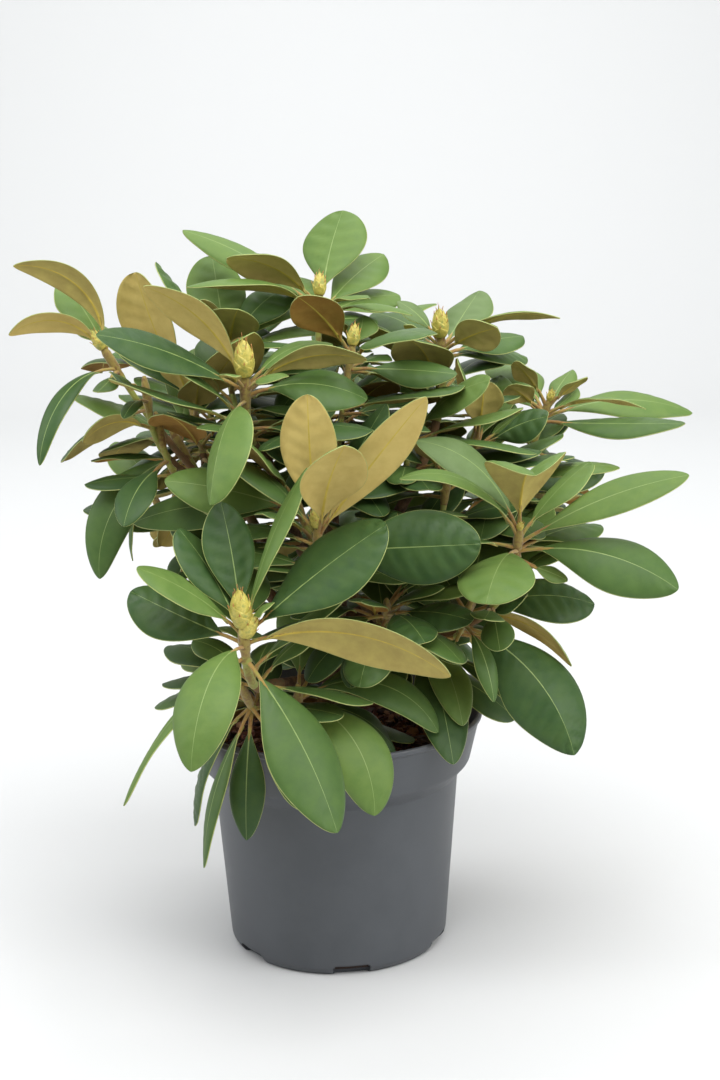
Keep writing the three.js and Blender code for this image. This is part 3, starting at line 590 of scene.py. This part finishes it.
# rhododendron leaf, upper face: a waxed skin over green, so it is satin with soft reflections
leafSkins = [
    mottled("leafSkin" + age, shades, 12, 0.5, 0.06, roughness, Specular_IOR_Level=0.24)
    for age, shades, roughness in (
        ("Deep", ("#344e28", "#3d562a"), (0.4, 0.5)),
        ("Dark", ("#425c2c", "#4a642f"), (0.42, 0.52)),
        ("Green", ("#567035", "#5f7739"), (0.45, 0.56)),
        ("Fresh", ("#5a6f40", "#627749"), (0.48, 0.58)))
]
# under face: a mat of short hairs, so it is tan, dull and without reflections
feltUndersides = [
    mottled("felt" + tint, shades, spot, 0.35, 0.15, (0.88, 0.96), Specular_IOR_Level=0.2)
    for tint, shades, spot in (
        ("Tan", ("#bda660", "#c9b36c"), 14), ("Olive", ("#a69557", "#b4a45f"), 12),
        ("Rusty", ("#976f36", "#a88142"), 12))
]
# rib and margin: bare tissue without wax or hairs, so they are pale and plain
ribAbove = mottled("ribAbove", ("#71864a", "#7f9352"), 8, 0.4, 0.03, (0.5, 0.6))
ribBelow = mottled("ribBelow", ("#b8a03c", "#c8b04a"), 8, 0.4, 0.06, (0.7, 0.8))
leafMargin = mottled("leafMargin", ("#8f9a55", "#a3aa66"), 6, 0.4, 0.03, (0.5, 0.6))
# leaf stalk: green under a thin rusty down
stalk = mottled("downyStalk", ("#8a6330", "#9a7c3c", "#8d863c"), 7, 0.35, 0.1, (0.7, 0.85),
                Sheen_Weight=0.25)
# this year's shoot: yellow green with rusty down left in patches
youngShoot = mottled("youngShoot", ("#7f8a3a", "#8f903f", "#7d6a32"), 6, 0.4, 0.12, (0.6, 0.8),
                     Sheen_Weight=0.2)
# where the leaves stand: a thick rusty down
rustyShoot = mottled("rustyShoot", ("#7c6130", "#8d7d38", "#70502a"), 5, 0.35, 0.15, (0.75, 0.9),
                     Sheen_Weight=0.3)
# last year's twig: thin brown bark that still shows green
oldTwig = mottled("oldTwig", ("#5d5430", "#6d5232", "#7a5c3a"), 7, 0.5, 0.18, (0.75, 0.9))
# trunk and boughs: grey brown bark in thin flakes
flakyBark = mottled("flakyBark", ("#4a3726", "#6b5138", "#83694c"), 6, 0.7, 0.35, (0.82, 0.95))
# bud scales: smooth, waxed and yellow, with dry brown points
budScale = mottled("budScale", ("#a9a046", "#c6b658", "#98994a"), 4, 0.4, 0.05, (0.42, 0.55),
                   Coat_Weight=0.1)
budPoint = mottled("budPoint", ("#9a6434", "#b98348"), 3, 0.4, 0.08, (0.6, 0.75))
# growing medium: damp composted bark and peat, nearly black between red brown chips
dampPeat = mottled("dampPeat", ("#1c100b", "#2e1b12", "#3b2417"), 3, 0.6, 0.5, (0.85, 0.97))
chipBarks = [
    mottled("barkChip" + tint, shades, 4, 0.6, 0.3, (0.8, 0.95))
    for tint, shades in (("Red", ("#4a271a", "#6b3a26")), ("Dark", ("#2a1812", "#3d251a")),
                         ("Tan", ("#6d4a30", "#8a6242")))
]
# pot: injection moulded polypropylene with a fine spark finish, so it is dark grey with a
# wide dull highlight
moulded = mottled("mouldedPolypropylene", ("#45484c", "#4b4e52"), 40, 0.35, 0.03, (0.42, 0.5),
                  IOR=1.49)


def addObject(name, content):
    thing = bpy.data.objects.new(name, content)
    bpy.context.scene.collection.objects.link(thing)
    return thing


def makeMesh(name, points, faces, materials, faceMaterial=None, smooth=True):
    mesh = bpy.data.meshes.new(name)
    mesh.from_pydata(points, [], faces)
    for material in materials:
        mesh.materials.append(material)
    if faceMaterial is not None:
        mesh.polygons.foreach_set("material_index", faceMaterial)
    mesh.polygons.foreach_set("use_smooth", [smooth] * len(mesh.polygons))
    mesh.update()
    return addObject(name, mesh)


def makePiece(name, points, faces, materials, faceMaterial=None, smooth=True):
    scaled = (np.asarray(points) * mm).tolist()
    piece = makeMesh(name, scaled, faces, materials, faceMaterial, smooth)
    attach(piece, "root")
    return piece


class Gather:
    # collects many small shells into the lists that one mesh needs
    def __init__(self):
        self.points, self.faces, self.slots, self.count = [], [], [], 0

    def add(self, points, faces, slots):
        self.points.append(points)
        self.faces += [[corner + self.count for corner in face] for face in faces]
        self.slots += list(slots)
        self.count += len(points)

    def piece(self, name, materials, smooth=True):
        return makePiece(name, np.vstack(self.points), self.faces, materials, self.slots, smooth)


def ringFaces(rings, sides, turned=None):
    # quads round a tube of rings, closed on a single point at each end; from the side
    # "turned" on, each starts at its next corner, so it folds the other way
    faces = []
    for ring in range(rings - 1):
        for side in range(sides):
            a, b = 1 + ring * sides + side, 1 + ring * sides + (side + 1) % sides
            quad = (a, b, b + sides, a + sides)
            faces.append(quad[1:] + quad[:1] if turned and side >= turned else quad)
    last = 1 + (rings - 1) * sides
    faces += [(0, 1 + (side + 1) % sides, 1 + side) for side in range(sides)]
    faces += [(last + side, last + (side + 1) % sides, last + sides) for side in range(sides)]
    return faces


bladeRing = {
    # first and last ring, and places across the blade as shares of the half width
    "ends": (0.012, 0.994), "crowding": 0.96, "places": (0.22, 0.42, 0.62, 0.82),
    # which stuff each stretch of the ring is: 0 skin, 1 rib above, 2 margin, 3 felt, 4 rib below
    "stuff": (2, 0, 0, 0, 0, 0, 1, 1, 0, 0, 0, 0, 0, 2, 2, 3, 3, 3, 3, 3, 4, 4, 3, 3, 3, 3, 3, 2),
}
# the leaf stalk at its stations: millimetres from the shoot, and then shares of the blade
stalkForm = {
    "sides": 8, "along": (0, 3, 8, 14), "under": (0.06, 0.16), "flat": 0.8,
    "radius": (2.2, 1.85, 1.55, 1.5, 1.2, 0.6), "drop": (0, 0, 0, 0.3, 1.0, 1.2),
}
# steep leaves near the tips are fresh, low and inner ones are older and darker
ageing = {"fresh": 1.9, "risePerStep": 70, "loss": (0, 0.4, 1.3), "spread": 0.35, "old": 1.5,
          "felt": 0.6, "seed": 41}
leafStuffs = leafSkins + feltUndersides + [ribAbove, leafMargin, ribBelow, stalk]
feltAt, ribAt = len(leafSkins), len(leafSkins) + len(feltUndersides)
stalkAt = ribAt + 3


def bladeHalf(leaf, blunt, share):
    # the blade's own half width: the shell's outline with a rounder end
    swell = np.sin(np.pi * share ** (1.2 + 0.2 * blunt))
    return leaf["width"] / 2 * swell ** (0.92 - (0.32 + 0.16 * blunt) * share)


def bladePoints(leaf, form, stations):
    # rings that crowd towards both ends of the blade
    even = np.linspace(*bladeRing["ends"], stations)
    share = (0.5 - 0.5 * np.cos(np.pi * even)) ** bladeRing["crowding"]
    point, left, normal = midrib(leaf, mix(petiole, leaf["length"], share))
    half = bladeHalf(leaf, form["blunt"], share)
    rib = np.minimum(leafForm["rib"] * (1.15 - share), 0.3 * half)
    margin = np.minimum(leafForm["margin"], 0.25 * half)
    between = [half * place for place in bladeRing["places"][::-1]]
    above, below = [half, half - margin] + between + [rib], [half - margin] + between + [rib * 2]
    across = np.array(above + [0 * half] + [-row for row in above[::-1]]
                      + [-row for row in below] + [0 * half] + below[::-1])
    top = len(above) * 2 + 1
    edge = np.abs(across) / half
    side = np.where(across >= 0, 0, 1)
    broad = np.minimum(1, half / 8)
    sunk = hump(across, leafForm["grooveWidth"])
    # soft pillows lie between the side veins, which run forward to the margin
    veins = (leaf["length"] - petiole) / leafForm["veinGap"]
    forward = share - leafForm["veinLean"] * edge ** 1.2
    pillow = np.abs(np.sin(np.pi * (veins * forward + 0.5 * side))) ** 0.6 - 0.7
    height = form["quilt"] * pillow * np.sin(np.pi * edge ** 0.8) * broad
    height += form["dimple"] * np.sin(11 * share + 4 * edge + form["phase"]) * edge
    # the face falls to its margins and sinks at the rib
    height += leaf["fold"] * half * edge - form["cup"] * half * (edge ** 2 - 0.4 * edge)
    height -= form["curl"] * half * edge ** 7 + leafForm["groove"] * sunk * (1 - share)
    wave = np.sin(2 * np.pi * form["waves"] * share + form["phase"] + 1.9 * side)
    height += form["wave"] * wave * edge ** 2 * broad
    height[top:] -= leafForm["thickness"] + leafForm["keel"] * (1 - share) ** 0.7 * sunk[top:]
    height[[0, top - 1]] -= leafForm["thickness"] / 2
    root, tip = midrib(leaf, [petiole, leaf["length"]])[0]
    root = root - normal[0] * 0.4
    twist = radians(form["twist"]) * (share - 0.3)
    cosine, sine = np.cos(twist)[:, None], np.sin(twist)[:, None]
    left, normal = left * cosine + normal * sine, normal * cosine - left * sine
    sway = form["sway"] * np.sin(np.pi * share)
    rings = (point + left * sway[:, None])[None] + across[:, :, None] * left
    rings = rings + height[:, :, None] * normal
    return np.vstack([root, rings.transpose(1, 0, 2).reshape(-1, 3), tip])


def stalkPoints(leaf):
    # the stalk swells at its root and runs on under the blade as the start of the rib
    under = [petiole + share * (leaf["length"] - petiole) for share in stalkForm["under"]]
    point, left, normal = midrib(leaf, [*stalkForm["along"], *under])
    radius, drop = (np.array(stalkForm[name])[:, None] for name in ("radius", "drop"))
    point = point - normal * drop
    turns = circle(stalkForm["sides"])[None, :, None]
    outward = (np.cos(turns) * left[:, None]
               + stalkForm["flat"] * np.sin(turns) * normal[:, None])
    rings = point[:, None] + radius[:, None] * outward
    return np.vstack([point[:1], rings.reshape(-1, 3), point[-1:]])


# how one leaf differs from the next: ranges of its veins, cup, curl, waves and twist
character = {
    "cup": (0.04, 0.2), "curl": (0.03, 0.12), "quilt": (0.8, 1.3), "dimple": (0.1, 0.4),
    "wave": (0.3, 1.3), "waves": (0.7, 1.8), "phase": (0, 6.28), "twist": (-10, 10),
    "sway": (-1.5, 1.5),
}


def leafCharacter(item, source):
    # broad leaves are blunter, and they and old ones are more puckered between the veins
    width, length = item["leaf"]["width"], item["leaf"]["length"]
    blunt = np.clip(6 * (width / length - 0.33) + source.normal(0, 0.25), 0, 1.1)
    form = {name: source.uniform(*ends) for name, ends in character.items()}
    quilt = leafForm["quilt"][item["dark"]] * (width / leafForm["quiltWidth"]) ** 2
    return {**form, "blunt": blunt, "quilt": quilt * form["quilt"]}


def pick(value, stuffs):
    return int(np.clip(value, 0, len(stuffs) - 0.01))


def growLeaves():
    source = np.random.default_rng(ageing["seed"])
    bladeSides = len(bladeRing["stuff"])
    stalkFaces = ringFaces(len(stalkForm["radius"]), stalkForm["sides"])
    gathers = {name: Gather() for name in masses}
    for item in placed:
        leaf, age, gather = item["leaf"], item["age"], gathers[item["mass"]]
        form = leafCharacter(item, source)
        stations = leafForm["stations"][age]
        fresh = ageing["fresh"] + leaf["rise"] / ageing["risePerStep"] - ageing["loss"][age]
        fresh = fresh + source.normal(0, ageing["spread"])
        if item["dark"]:
            fresh = min(fresh, source.uniform(0, ageing["old"]))
        fuzz = source.normal(ageing["felt"] + ageing["felt"] * age, ageing["felt"])
        kinds = [pick(fresh, leafSkins), ribAt, ribAt + 1, feltAt + pick(fuzz, feltUndersides),
                 ribAt + 2]
        stuffs = np.array(kinds)[list(bladeRing["stuff"])]
        # top and underside fold along the same lines, so the thin blade never cuts itself
        gather.add(bladePoints(leaf, form, stations),
                   ringFaces(stations, bladeSides, bladeSides // 2), np.tile(stuffs, stations + 1))
        gather.add(stalkPoints(leaf), stalkFaces, [stalkAt] * len(stalkFaces))
    for name, gather in gathers.items():
        leaves = gather.piece("leaves_" + name, leafStuffs)
        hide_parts("foliage_" + name)
    print("leaves grown:", len(placed))


# each kind of limb: its sides, how high its bark is raised, and how long the bumps are
limbForm = {
    "trunk": (40, 1.1, 14), "bough": (20, 0.45, 9), "stem": (16, 0.35, 7), "twig": (16, 0.3, 6),
    "ridges": 2.1, "trunkRings": 60, "boughRings": 56, "collar": 1.6, "collarShare": 0.08,
}


def addLimb(gather, stations, radii, kind, slots=None):
    # a limb with raised bark: ridges along it with small bumps across them
    sides, relief, grain = limbForm[kind]
    reference = awayFrom(unit(stations[-1][0] - stations[0][0]))
    rings, travelled, before = [], 0.0, stations[0][0]
    for (point, tangent), radius in zip(stations, radii):
        travelled += float(np.linalg.norm(point - before))
        before = point
        raised = []
        for turn in circle(sides):
            x, y = cos(turn) * limbForm["ridges"], sin(turn) * limbForm["ridges"]
            spot = Vector((x, y, travelled / grain)) + Vector(stations[0][0])
            raised.append(radius + relief * noise.fractal(spot, 0.7, 2.0, 4))
        rings.append(ringAt(point, tangent, raised, sides, reference))
    faces = ringFaces(len(stations), sides)
    points = np.vstack([stations[0][0], *rings, stations[-1][0]])
    gather.add(points, faces, slots or [0] * len(faces))


def makeBark():
    # trunk and boughs, with a collar where each bough leaves
    gather = Gather()
    heights = np.linspace(wood["foot"][2], wood["top"][2], limbForm["trunkRings"])
    stations = [(trunkAxis(z), up) for z in heights]
    addLimb(gather, stations, [trunkRadius(z) for z in heights], "trunk")
    for name, (start, tip, _) in masses.items():
        if start < wood["top"][2]:
            curve = boughCurve(start, tip, limbForm["boughRings"])
            shares = np.linspace(0, 1, len(curve))
            collar = limbForm["collar"] * np.exp(-shares / limbForm["collarShare"])
            radii = mix(wood["bough"], wood["boughTip"], shares) + collar
            addLimb(gather, curve, radii, "bough")
    piece = gather.piece("bark", [flakyBark])
    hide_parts("trunk", *["bough_" + name for name in masses if name != "top"])
    print("bark made")


# twigs: stout under a large bud, swollen where the leaves stand, ringed by scars of shed leaves,
# and brown, then young, then rusty at shares of their length
twigForm = {
    "rings": 44, "tipRings": 12, "slender": 0.72, "stoutBud": 18,
    "swell": 1.3, "swellAt": 0.9, "swellShare": 0.08, "ends": (0.95, 0.85, 0.55),
    "scars": 9, "scar": 0.35, "scarShare": 0.012, "young": 0.45, "rusty": 0.82, "seed": 8,
}


def makeTwigs():
    gather = Gather()
    source = np.random.default_rng(twigForm["seed"])
    form, sides, few = twigForm, limbForm["twig"][0], twigForm["tipRings"]
    for name, (start, tip, sprays) in masses.items():
        (low, onward), (high, _) = stemLine(start, tip)
        stations = [(mix(low, high, share), onward) for share in np.linspace(-0.03, 1.25, few)]
        radii = mix(wood["boughTip"], wood["twig"], np.linspace(0, 1, few))
        addLimb(gather, stations, radii, "stem")
        for spray in sprays:
            curve = twigCurve(start, tip, spray, form["rings"])
            neck, (end, lean) = curve[-2][0], curve[-1]
            curve[-1:] = [(mix(neck, end, share), lean) for share in np.linspace(0.1, 1, few)]
            shares = np.linspace(0, 1, len(curve))
            stout = 1.0 if spray["bud"] > form["stoutBud"] else form["slender"]
            swell = form["swell"] * hump(shares - form["swellAt"], form["swellShare"])
            radii = stout * mix(wood["twig"], wood["twigTip"], shares) + swell
            radii[-3:] *= form["ends"]
            for scar in source.uniform(0.25, 0.95, form["scars"]):
                radii += form["scar"] * hump(shares - scar, form["scarShare"])
            young = form["young"] + source.uniform(-0.08, 0.08)
            slots = [int(share > young) + int(share > form["rusty"])
                     for share in shares[1:] for side in range(sides)]
            addLimb(gather, curve, radii, "twig", slots + [0] * sides + [2] * sides)
    piece = gather.piece("twigs", [oldTwig, youngShoot, rustyShoot])
    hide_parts(*["foliage_" + name for name in masses])
    print("twigs made")


# a bud: its egg, its scales and how far they lift, and how deep it sits on the shoot's end
budForm = {
    "rings": 12, "sides": 14, "girth": 0.25, "scales": 14, "rows": 12, "columns": 7,
    "thickness": 0.6, "lift": 1.8, "point": 0.74, "stretch": 1.08, "sunk": 3,
    "twin": 0.8, "twinSunk": 12, "seed": 3,
}


def scaleFaces():
    # both faces of one scale and the rim between them; rows past the point are dry
    rows, columns = budForm["rows"], budForm["columns"]
    half = rows * columns
    grid = [list(range(first, first + columns)) for first in range(0, half, columns)]
    faces, slots = [], []
    for row, (upper, lower) in enumerate(zip(grid, grid[1:])):
        for a, b, c, d in zip(upper, upper[1:], lower[1:], lower):
            faces += [(a, b, c, d), (half + a, half + d, half + c, half + b)]
            slots += [int(row / (rows - 1) > budForm["point"])] * 2
    rim = grid[0] + [row[-1] for row in grid[1:]]
    rim += grid[-1][-2::-1] + [row[0] for row in grid[-2:0:-1]]
    for a, b in zip(rim, rim[1:] + rim[:1]):
        faces.append((a, half + a, half + b, b))
        slots.append(int(a > budForm["point"] * half))
    return faces, slots


def budScales(gather, base, lean, length, source):
    # an egg of scales laid like tiles, the lowest outermost, each with a dry point
    axis = direction(*lean)
    across, over = crossAxes(axis, awayFrom(axis))

    def body(share):
        egg = sin(pi * (0.14 + 0.83 * min(share, 1)) ** 0.9) ** 0.7
        return budForm["girth"] * length * egg

    def spot(share, radius, turn):
        outward = cos(turn) * across + sin(turn) * over
        return base + axis * share * length + radius * outward

    rings, sides = budForm["rings"], budForm["sides"]
    core = [spot(share, body(share) - 0.2, turn)
            for share in np.linspace(0, 0.98, rings) for turn in circle(sides)]
    faces = ringFaces(rings, sides)
    gather.add(np.vstack([base, core, base + axis * length]), faces, [0] * len(faces))
    faces, slots = scaleFaces()
    for index in range(budForm["scales"]):
        order = index / (budForm["scales"] - 1)
        low = 0.5 * order
        high = low + mix(0.5, 0.7, order) + source.uniform(-0.02, 0.06)
        turn = radians(index * seeded["goldenAngle"]) + source.uniform(-0.15, 0.15)
        layers = []
        for inner in (0, 1):
            for v in np.linspace(0, 1, budForm["rows"]):
                share = mix(low, high, v)
                radius = body(share) + budForm["thickness"] * (1.9 - 1.3 * order - inner * 0.9)
                radius += budForm["lift"] * v ** 4
                spread = 1.15 * max(0, 1 - (v / budForm["point"]) ** 2.4) ** 0.8
                spread = spread + 0.36 * (1.03 - v)
                for u in np.linspace(-1, 1, budForm["columns"]):
                    edge = (radius - 0.25 * u * u * (1 - inner)) if radius > 1 else radius
                    layers.append(spot(share, edge, turn + u * spread))
        gather.add(np.array(layers), faces, slots)


def makeBuds():
    gather = Gather()
    source = np.random.default_rng(budForm["seed"])
    for _, _, sprays in masses.values():
        for spray in sprays:
            at, lean, bud = spray["at"], direction(*spray["lean"]), spray["bud"]
            if bud:
                length = budForm["stretch"] * bud
                budScales(gather, at - lean * budForm["sunk"], spray["lean"], length, source)
            if spray["twin"]:
                length = budForm["twin"] * bud
                budScales(gather, at - lean * budForm["twinSunk"], spray["twin"], length, source)
    piece = gather.piece("buds", [budScale, budPoint])
    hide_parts(*["foliage_" + name for name, mass in masses.items()
                         if any(spray["bud"] for spray in mass[2])])
    print("buds made")


def lathePoints(profile, sides):
    rings = [(r * cos(turn), r * sin(turn), z) for r, z in profile
             for turn in circle(sides)]
    return np.array([(0, 0, profile[0][1]), *rings, (0, 0, profile[-1][1])])


def roundCorners(profile, radius, steps=5):
    # each inner corner of a section becomes a small curve
    rounded = [profile[0]]
    for spots in zip(profile, profile[1:], profile[2:]):
        before, corner, after = (np.array(spot, float) for spot in spots)
        reach = min([radius] + [0.45 * np.linalg.norm(spot - corner) for spot in (before, after)])
        start, end = corner + unit(before - corner) * reach, corner + unit(after - corner) * reach
        for t in np.linspace(0, 1, steps):
            rounded.append(tuple((1 - t) ** 2 * start + 2 * t * (1 - t) * corner + t * t * end))
    return rounded + [profile[-1]]


def notchBlocks():
    # rounded blocks that stand where the drain notches are cut
    blocks = bmesh.new()
    depth = 2 * pot["notchInset"]
    for notch in range(pot["notches"]):
        angle = radians(360 * notch / pot["notches"] + pot["notchTurn"])
        turn = Matrix.Rotation(angle, 4, "Z")
        middle = (pot["base"] - pot["notchInset"] + depth / 2) * mm
        size = (depth * mm, pot["notchWidth"] * mm, 2 * pot["notchHeight"] * mm, 1)
        matrix = turn @ Matrix.Translation((middle, 0, 0)) @ Matrix.Diagonal(size)
        bmesh.ops.create_cube(blocks, size=1, matrix=matrix)
    bmesh.ops.bevel(blocks, geom=blocks.edges[:], offset=pot["notchRound"] * mm, segments=3,
                    affect="EDGES")
    mesh = bpy.data.meshes.new("notches")
    blocks.to_mesh(mesh)
    blocks.free()
    return addObject("notches", mesh)


def makePot():
    height, floor, sides = pot["height"], pot["floor"], pot["sides"]
    foot, base, neck, collar = pot["foot"], pot["base"], pot["neck"], pot["collar"]
    rim, wall, lip = pot["rim"], pot["wall"], height - pot["lipDepth"]
    # a ring just above the notches keeps their edges out of the smooth wall
    ring = pot["notchHeight"] + 3
    above = (ring - pot["bevel"]) / (pot["neckHeight"] - pot["bevel"])
    outside = [(pot["hub"], 0), (foot, 0), (base, pot["bevel"]), (mix(base, neck, above), ring),
               (neck, pot["neckHeight"]), (collar, pot["collarHeight"]), (rim, lip),
               (rim + pot["lipStand"], lip + 1), (rim + pot["lipStand"], height - 1),
               (rim + 1, height)]
    inside = [(rim - 1, height), (rim - wall, lip), (collar - wall, pot["collarHeight"]),
              (neck - wall, pot["neckHeight"]), (base - wall, floor + 2), (foot - 1, floor),
              (pot["hub"], floor)]
    profile = roundCorners(outside + inside, pot["corner"])
    points, faces = lathePoints(profile, sides), ringFaces(len(profile), sides)
    piece = makePiece("nursery_pot", points, faces, [moulded])
    cutter = notchBlocks()
    cut = piece.modifiers.new("notches", "BOOLEAN")
    cut.operation, cut.object, cut.solver = "DIFFERENCE", cutter, "EXACT"
    # the cut is put into the mesh itself
    graph = bpy.context.evaluated_depsgraph_get()
    mesh = bpy.data.meshes.new_from_object(piece.evaluated_get(graph))
    piece.modifiers.clear()
    piece.data = mesh
    bpy.data.objects.remove(cutter)
    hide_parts("pot")
    print("pot made")


def innerWall(z):
    lip = pot["height"] - pot["lipDepth"]
    share = (z - pot["collarHeight"]) / (lip - pot["collarHeight"])
    return mix(pot["collar"], pot["rim"], share) - pot["wall"] - wood["gap"]


def mediumHeight(radius):
    # flat round the trunk, then falling to the pot's wall
    edge, flat = innerWall(medium["edge"]), medium["flat"]
    if radius < flat:
        return medium["top"]
    return mix(medium["top"], medium["edge"], ((radius - flat) / (edge - flat)) ** medium["fall"])


def makeMedium():
    # one body of damp peat, rough on top except near the trunk
    sides, inset, floor = medium["sides"], pot["wall"] + wood["gap"], pot["floor"] + wood["gap"]
    below = [(pot["hub"], floor), (pot["foot"] - 2, floor), (pot["base"] - inset, 6),
             (pot["neck"] - inset, pot["neckHeight"]),
             (pot["collar"] - inset, pot["collarHeight"] + 0.5)]
    radii = np.linspace(innerWall(medium["edge"]), 3, medium["rings"])
    profile = below + [(radius, mediumHeight(radius)) for radius in radii]
    points = lathePoints(profile, sides)
    for point in points[len(below) * sides + 1:]:
        spot = Vector(point)
        clear = min(1, hypot(spot.x - wood["foot"][0], spot.y) / medium["clear"])
        rough = noise.fractal(spot / medium["lump"], 0.8, 2.0, 3)
        rough += 0.5 * noise.noise(spot / medium["crumb"])
        point[2] += medium["relief"] * rough * clear - medium["sink"]
    piece = makePiece("peat", points, ringFaces(len(profile), sides), [dampPeat])
    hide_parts("growing_medium")
    print("peat made")


def chipShell(size, source):
    # an angular flake: a box of eight corners, each pushed about
    corners = np.array([(x, y, z) for z in (-1, 1) for y in (-1, 1) for x in (-1, 1)], float)
    corners *= 1 + source.uniform(*medium["push"], corners.shape)
    corners *= size
    spin = Matrix.Rotation(source.uniform(0, 6.28), 3, "Z")
    for axis in "XY":
        spin = spin @ Matrix.Rotation(source.normal(0, medium["tilt"]), 3, axis)
    faces = [(0, 2, 3, 1), (4, 5, 7, 6), (0, 1, 5, 4), (2, 6, 7, 3), (0, 4, 6, 2), (1, 3, 7, 5)]
    return corners @ np.array(spin).T, faces


def makeChips():
    # flakes of bark and crumbs of peat that lie on the medium
    source = np.random.default_rng(medium["seed"])
    gather = Gather()
    reach = innerWall(medium["edge"]) - medium["inside"]
    trunkFoot = wood["radius"] + wood["flare"] - 2
    for index in range(medium["chips"] + medium["crumbs"]):
        radius, turn = reach * sqrt(source.uniform()), source.uniform(0, 2 * pi)
        x, y = radius * cos(turn), radius * sin(turn)
        if hypot(x - wood["foot"][0], y) < trunkFoot:
            continue
        lengths = medium["chipLength" if index < medium["chips"] else "crumbLength"]
        long = source.uniform(*lengths)
        size = [long] + [long * source.uniform(*medium[name]) for name in ("breadth", "thickness")]
        points, faces = chipShell(size, source)
        points += (x, y, mediumHeight(radius) + source.uniform(*medium["rise"]))
        stuff = int(source.choice(len(chipBarks), p=medium["stuffs"]))
        gather.add(points, faces, [stuff] * len(faces))
    piece = gather.piece("bark_chips", chipBarks, smooth=False)
    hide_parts("growing_medium")
    print("bark chips made")


studio = {
    "floorColour": "#c8c9c9", "floorSize": 8.0, "wallAt": 3.6, "wallRoll": 1.2, "wallTop": 4.5,
    "worldColour": "#f6f8fa", "worldStrength": 0.45,
    "lights": (
        # place, aim, size, watts, colour
        ((0.1, -1.0, 2.1), (0, 0, 0.3), 1.7, 50, "#ffffff"),
        ((1.8, -0.9, 1.3), (0, 0, 0.3), 1.4, 28, "#ffffff"),
        ((-1.8, -0.2, 1.2), (0, 0, 0.3), 1.4, 18, "#fafcff"),
        ((0.0, 1.4, 3.2), (0, 3.6, 0.9), 2.6, 110, "#ffffff"),
    ),
}
camera = {"place": (0.0216, -1.3877, 0.6455), "down": 13.4, "roll": -0.97, "lens": 63.3, "film": 36}


def makeStudio():
    # a sheet of pale paper that rolls from the floor up the wall
    paper, tree, surface, position = newMaterial(
        "palePaper", Base_Color=colour(studio["floorColour"]), Roughness=0.85)
    fibre = addNode(tree, "ShaderNodeTexNoise", {"Vector": position, "Scale": 900.0, "Detail": 3.0})
    relief = addNode(tree, "ShaderNodeBump", {
        "Height": fibre.outputs["Fac"], "Distance": 0.02 * mm})
    tree.links.new(relief.outputs["Normal"], surface.inputs["Normal"])
    half, roll, far = studio["floorSize"] / 2, studio["wallRoll"], studio["wallAt"]
    section = [(-half, 0), (far - roll, 0)]
    section += [(far - roll + roll * sin(turn), roll - roll * cos(turn))
                for turn in np.linspace(0, pi / 2, 24)[1:]]
    section += [(far, studio["wallTop"])]
    points = [(x, y, z) for y, z in section for x in (-half, half)]
    faces = [(2 * i, 2 * i + 1, 2 * i + 3, 2 * i + 2) for i in range(len(section) - 1)]
    sheet = makeMesh("paper", points, faces, [paper])
    for index, (spot, aim, size, watts, shade) in enumerate(studio["lights"]):
        lamp = bpy.data.lights.new(f"softbox{index}", "AREA")
        lamp.size, lamp.energy, lamp.color = size, watts, colour(shade)[:3]
        light = addObject(lamp.name, lamp)
        light.location = spot
        light.rotation_euler = (Vector(aim) - Vector(spot)).to_track_quat("-Z", "Y").to_euler()
    world = bpy.data.worlds.new("studio")
    world.use_nodes = True
    background = world.node_tree.nodes["Background"].inputs
    background["Color"].default_value = colour(studio["worldColour"])
    background["Strength"].default_value = studio["worldStrength"]
    bpy.context.scene.world = world
    bpy.context.scene.view_settings.view_transform = "Standard"
    print("studio made")


def makeCamera():
    lens = bpy.data.cameras.new("camera")
    lens.lens, lens.sensor_width = camera["lens"], camera["film"]
    eye = addObject("camera", lens)
    eye.matrix_world = (Matrix.Translation(camera["place"])
                        @ Matrix.Rotation(radians(90 - camera["down"]), 4, "X")
                        @ Matrix.Rotation(radians(camera["roll"]), 4, "Z"))
    bpy.context.scene.camera = eye


growAll()
makeStudio()
makeCamera()
makePot()
makeMedium()
makeChips()
makeBark()
makeTwigs()
makeBuds()
growLeaves()
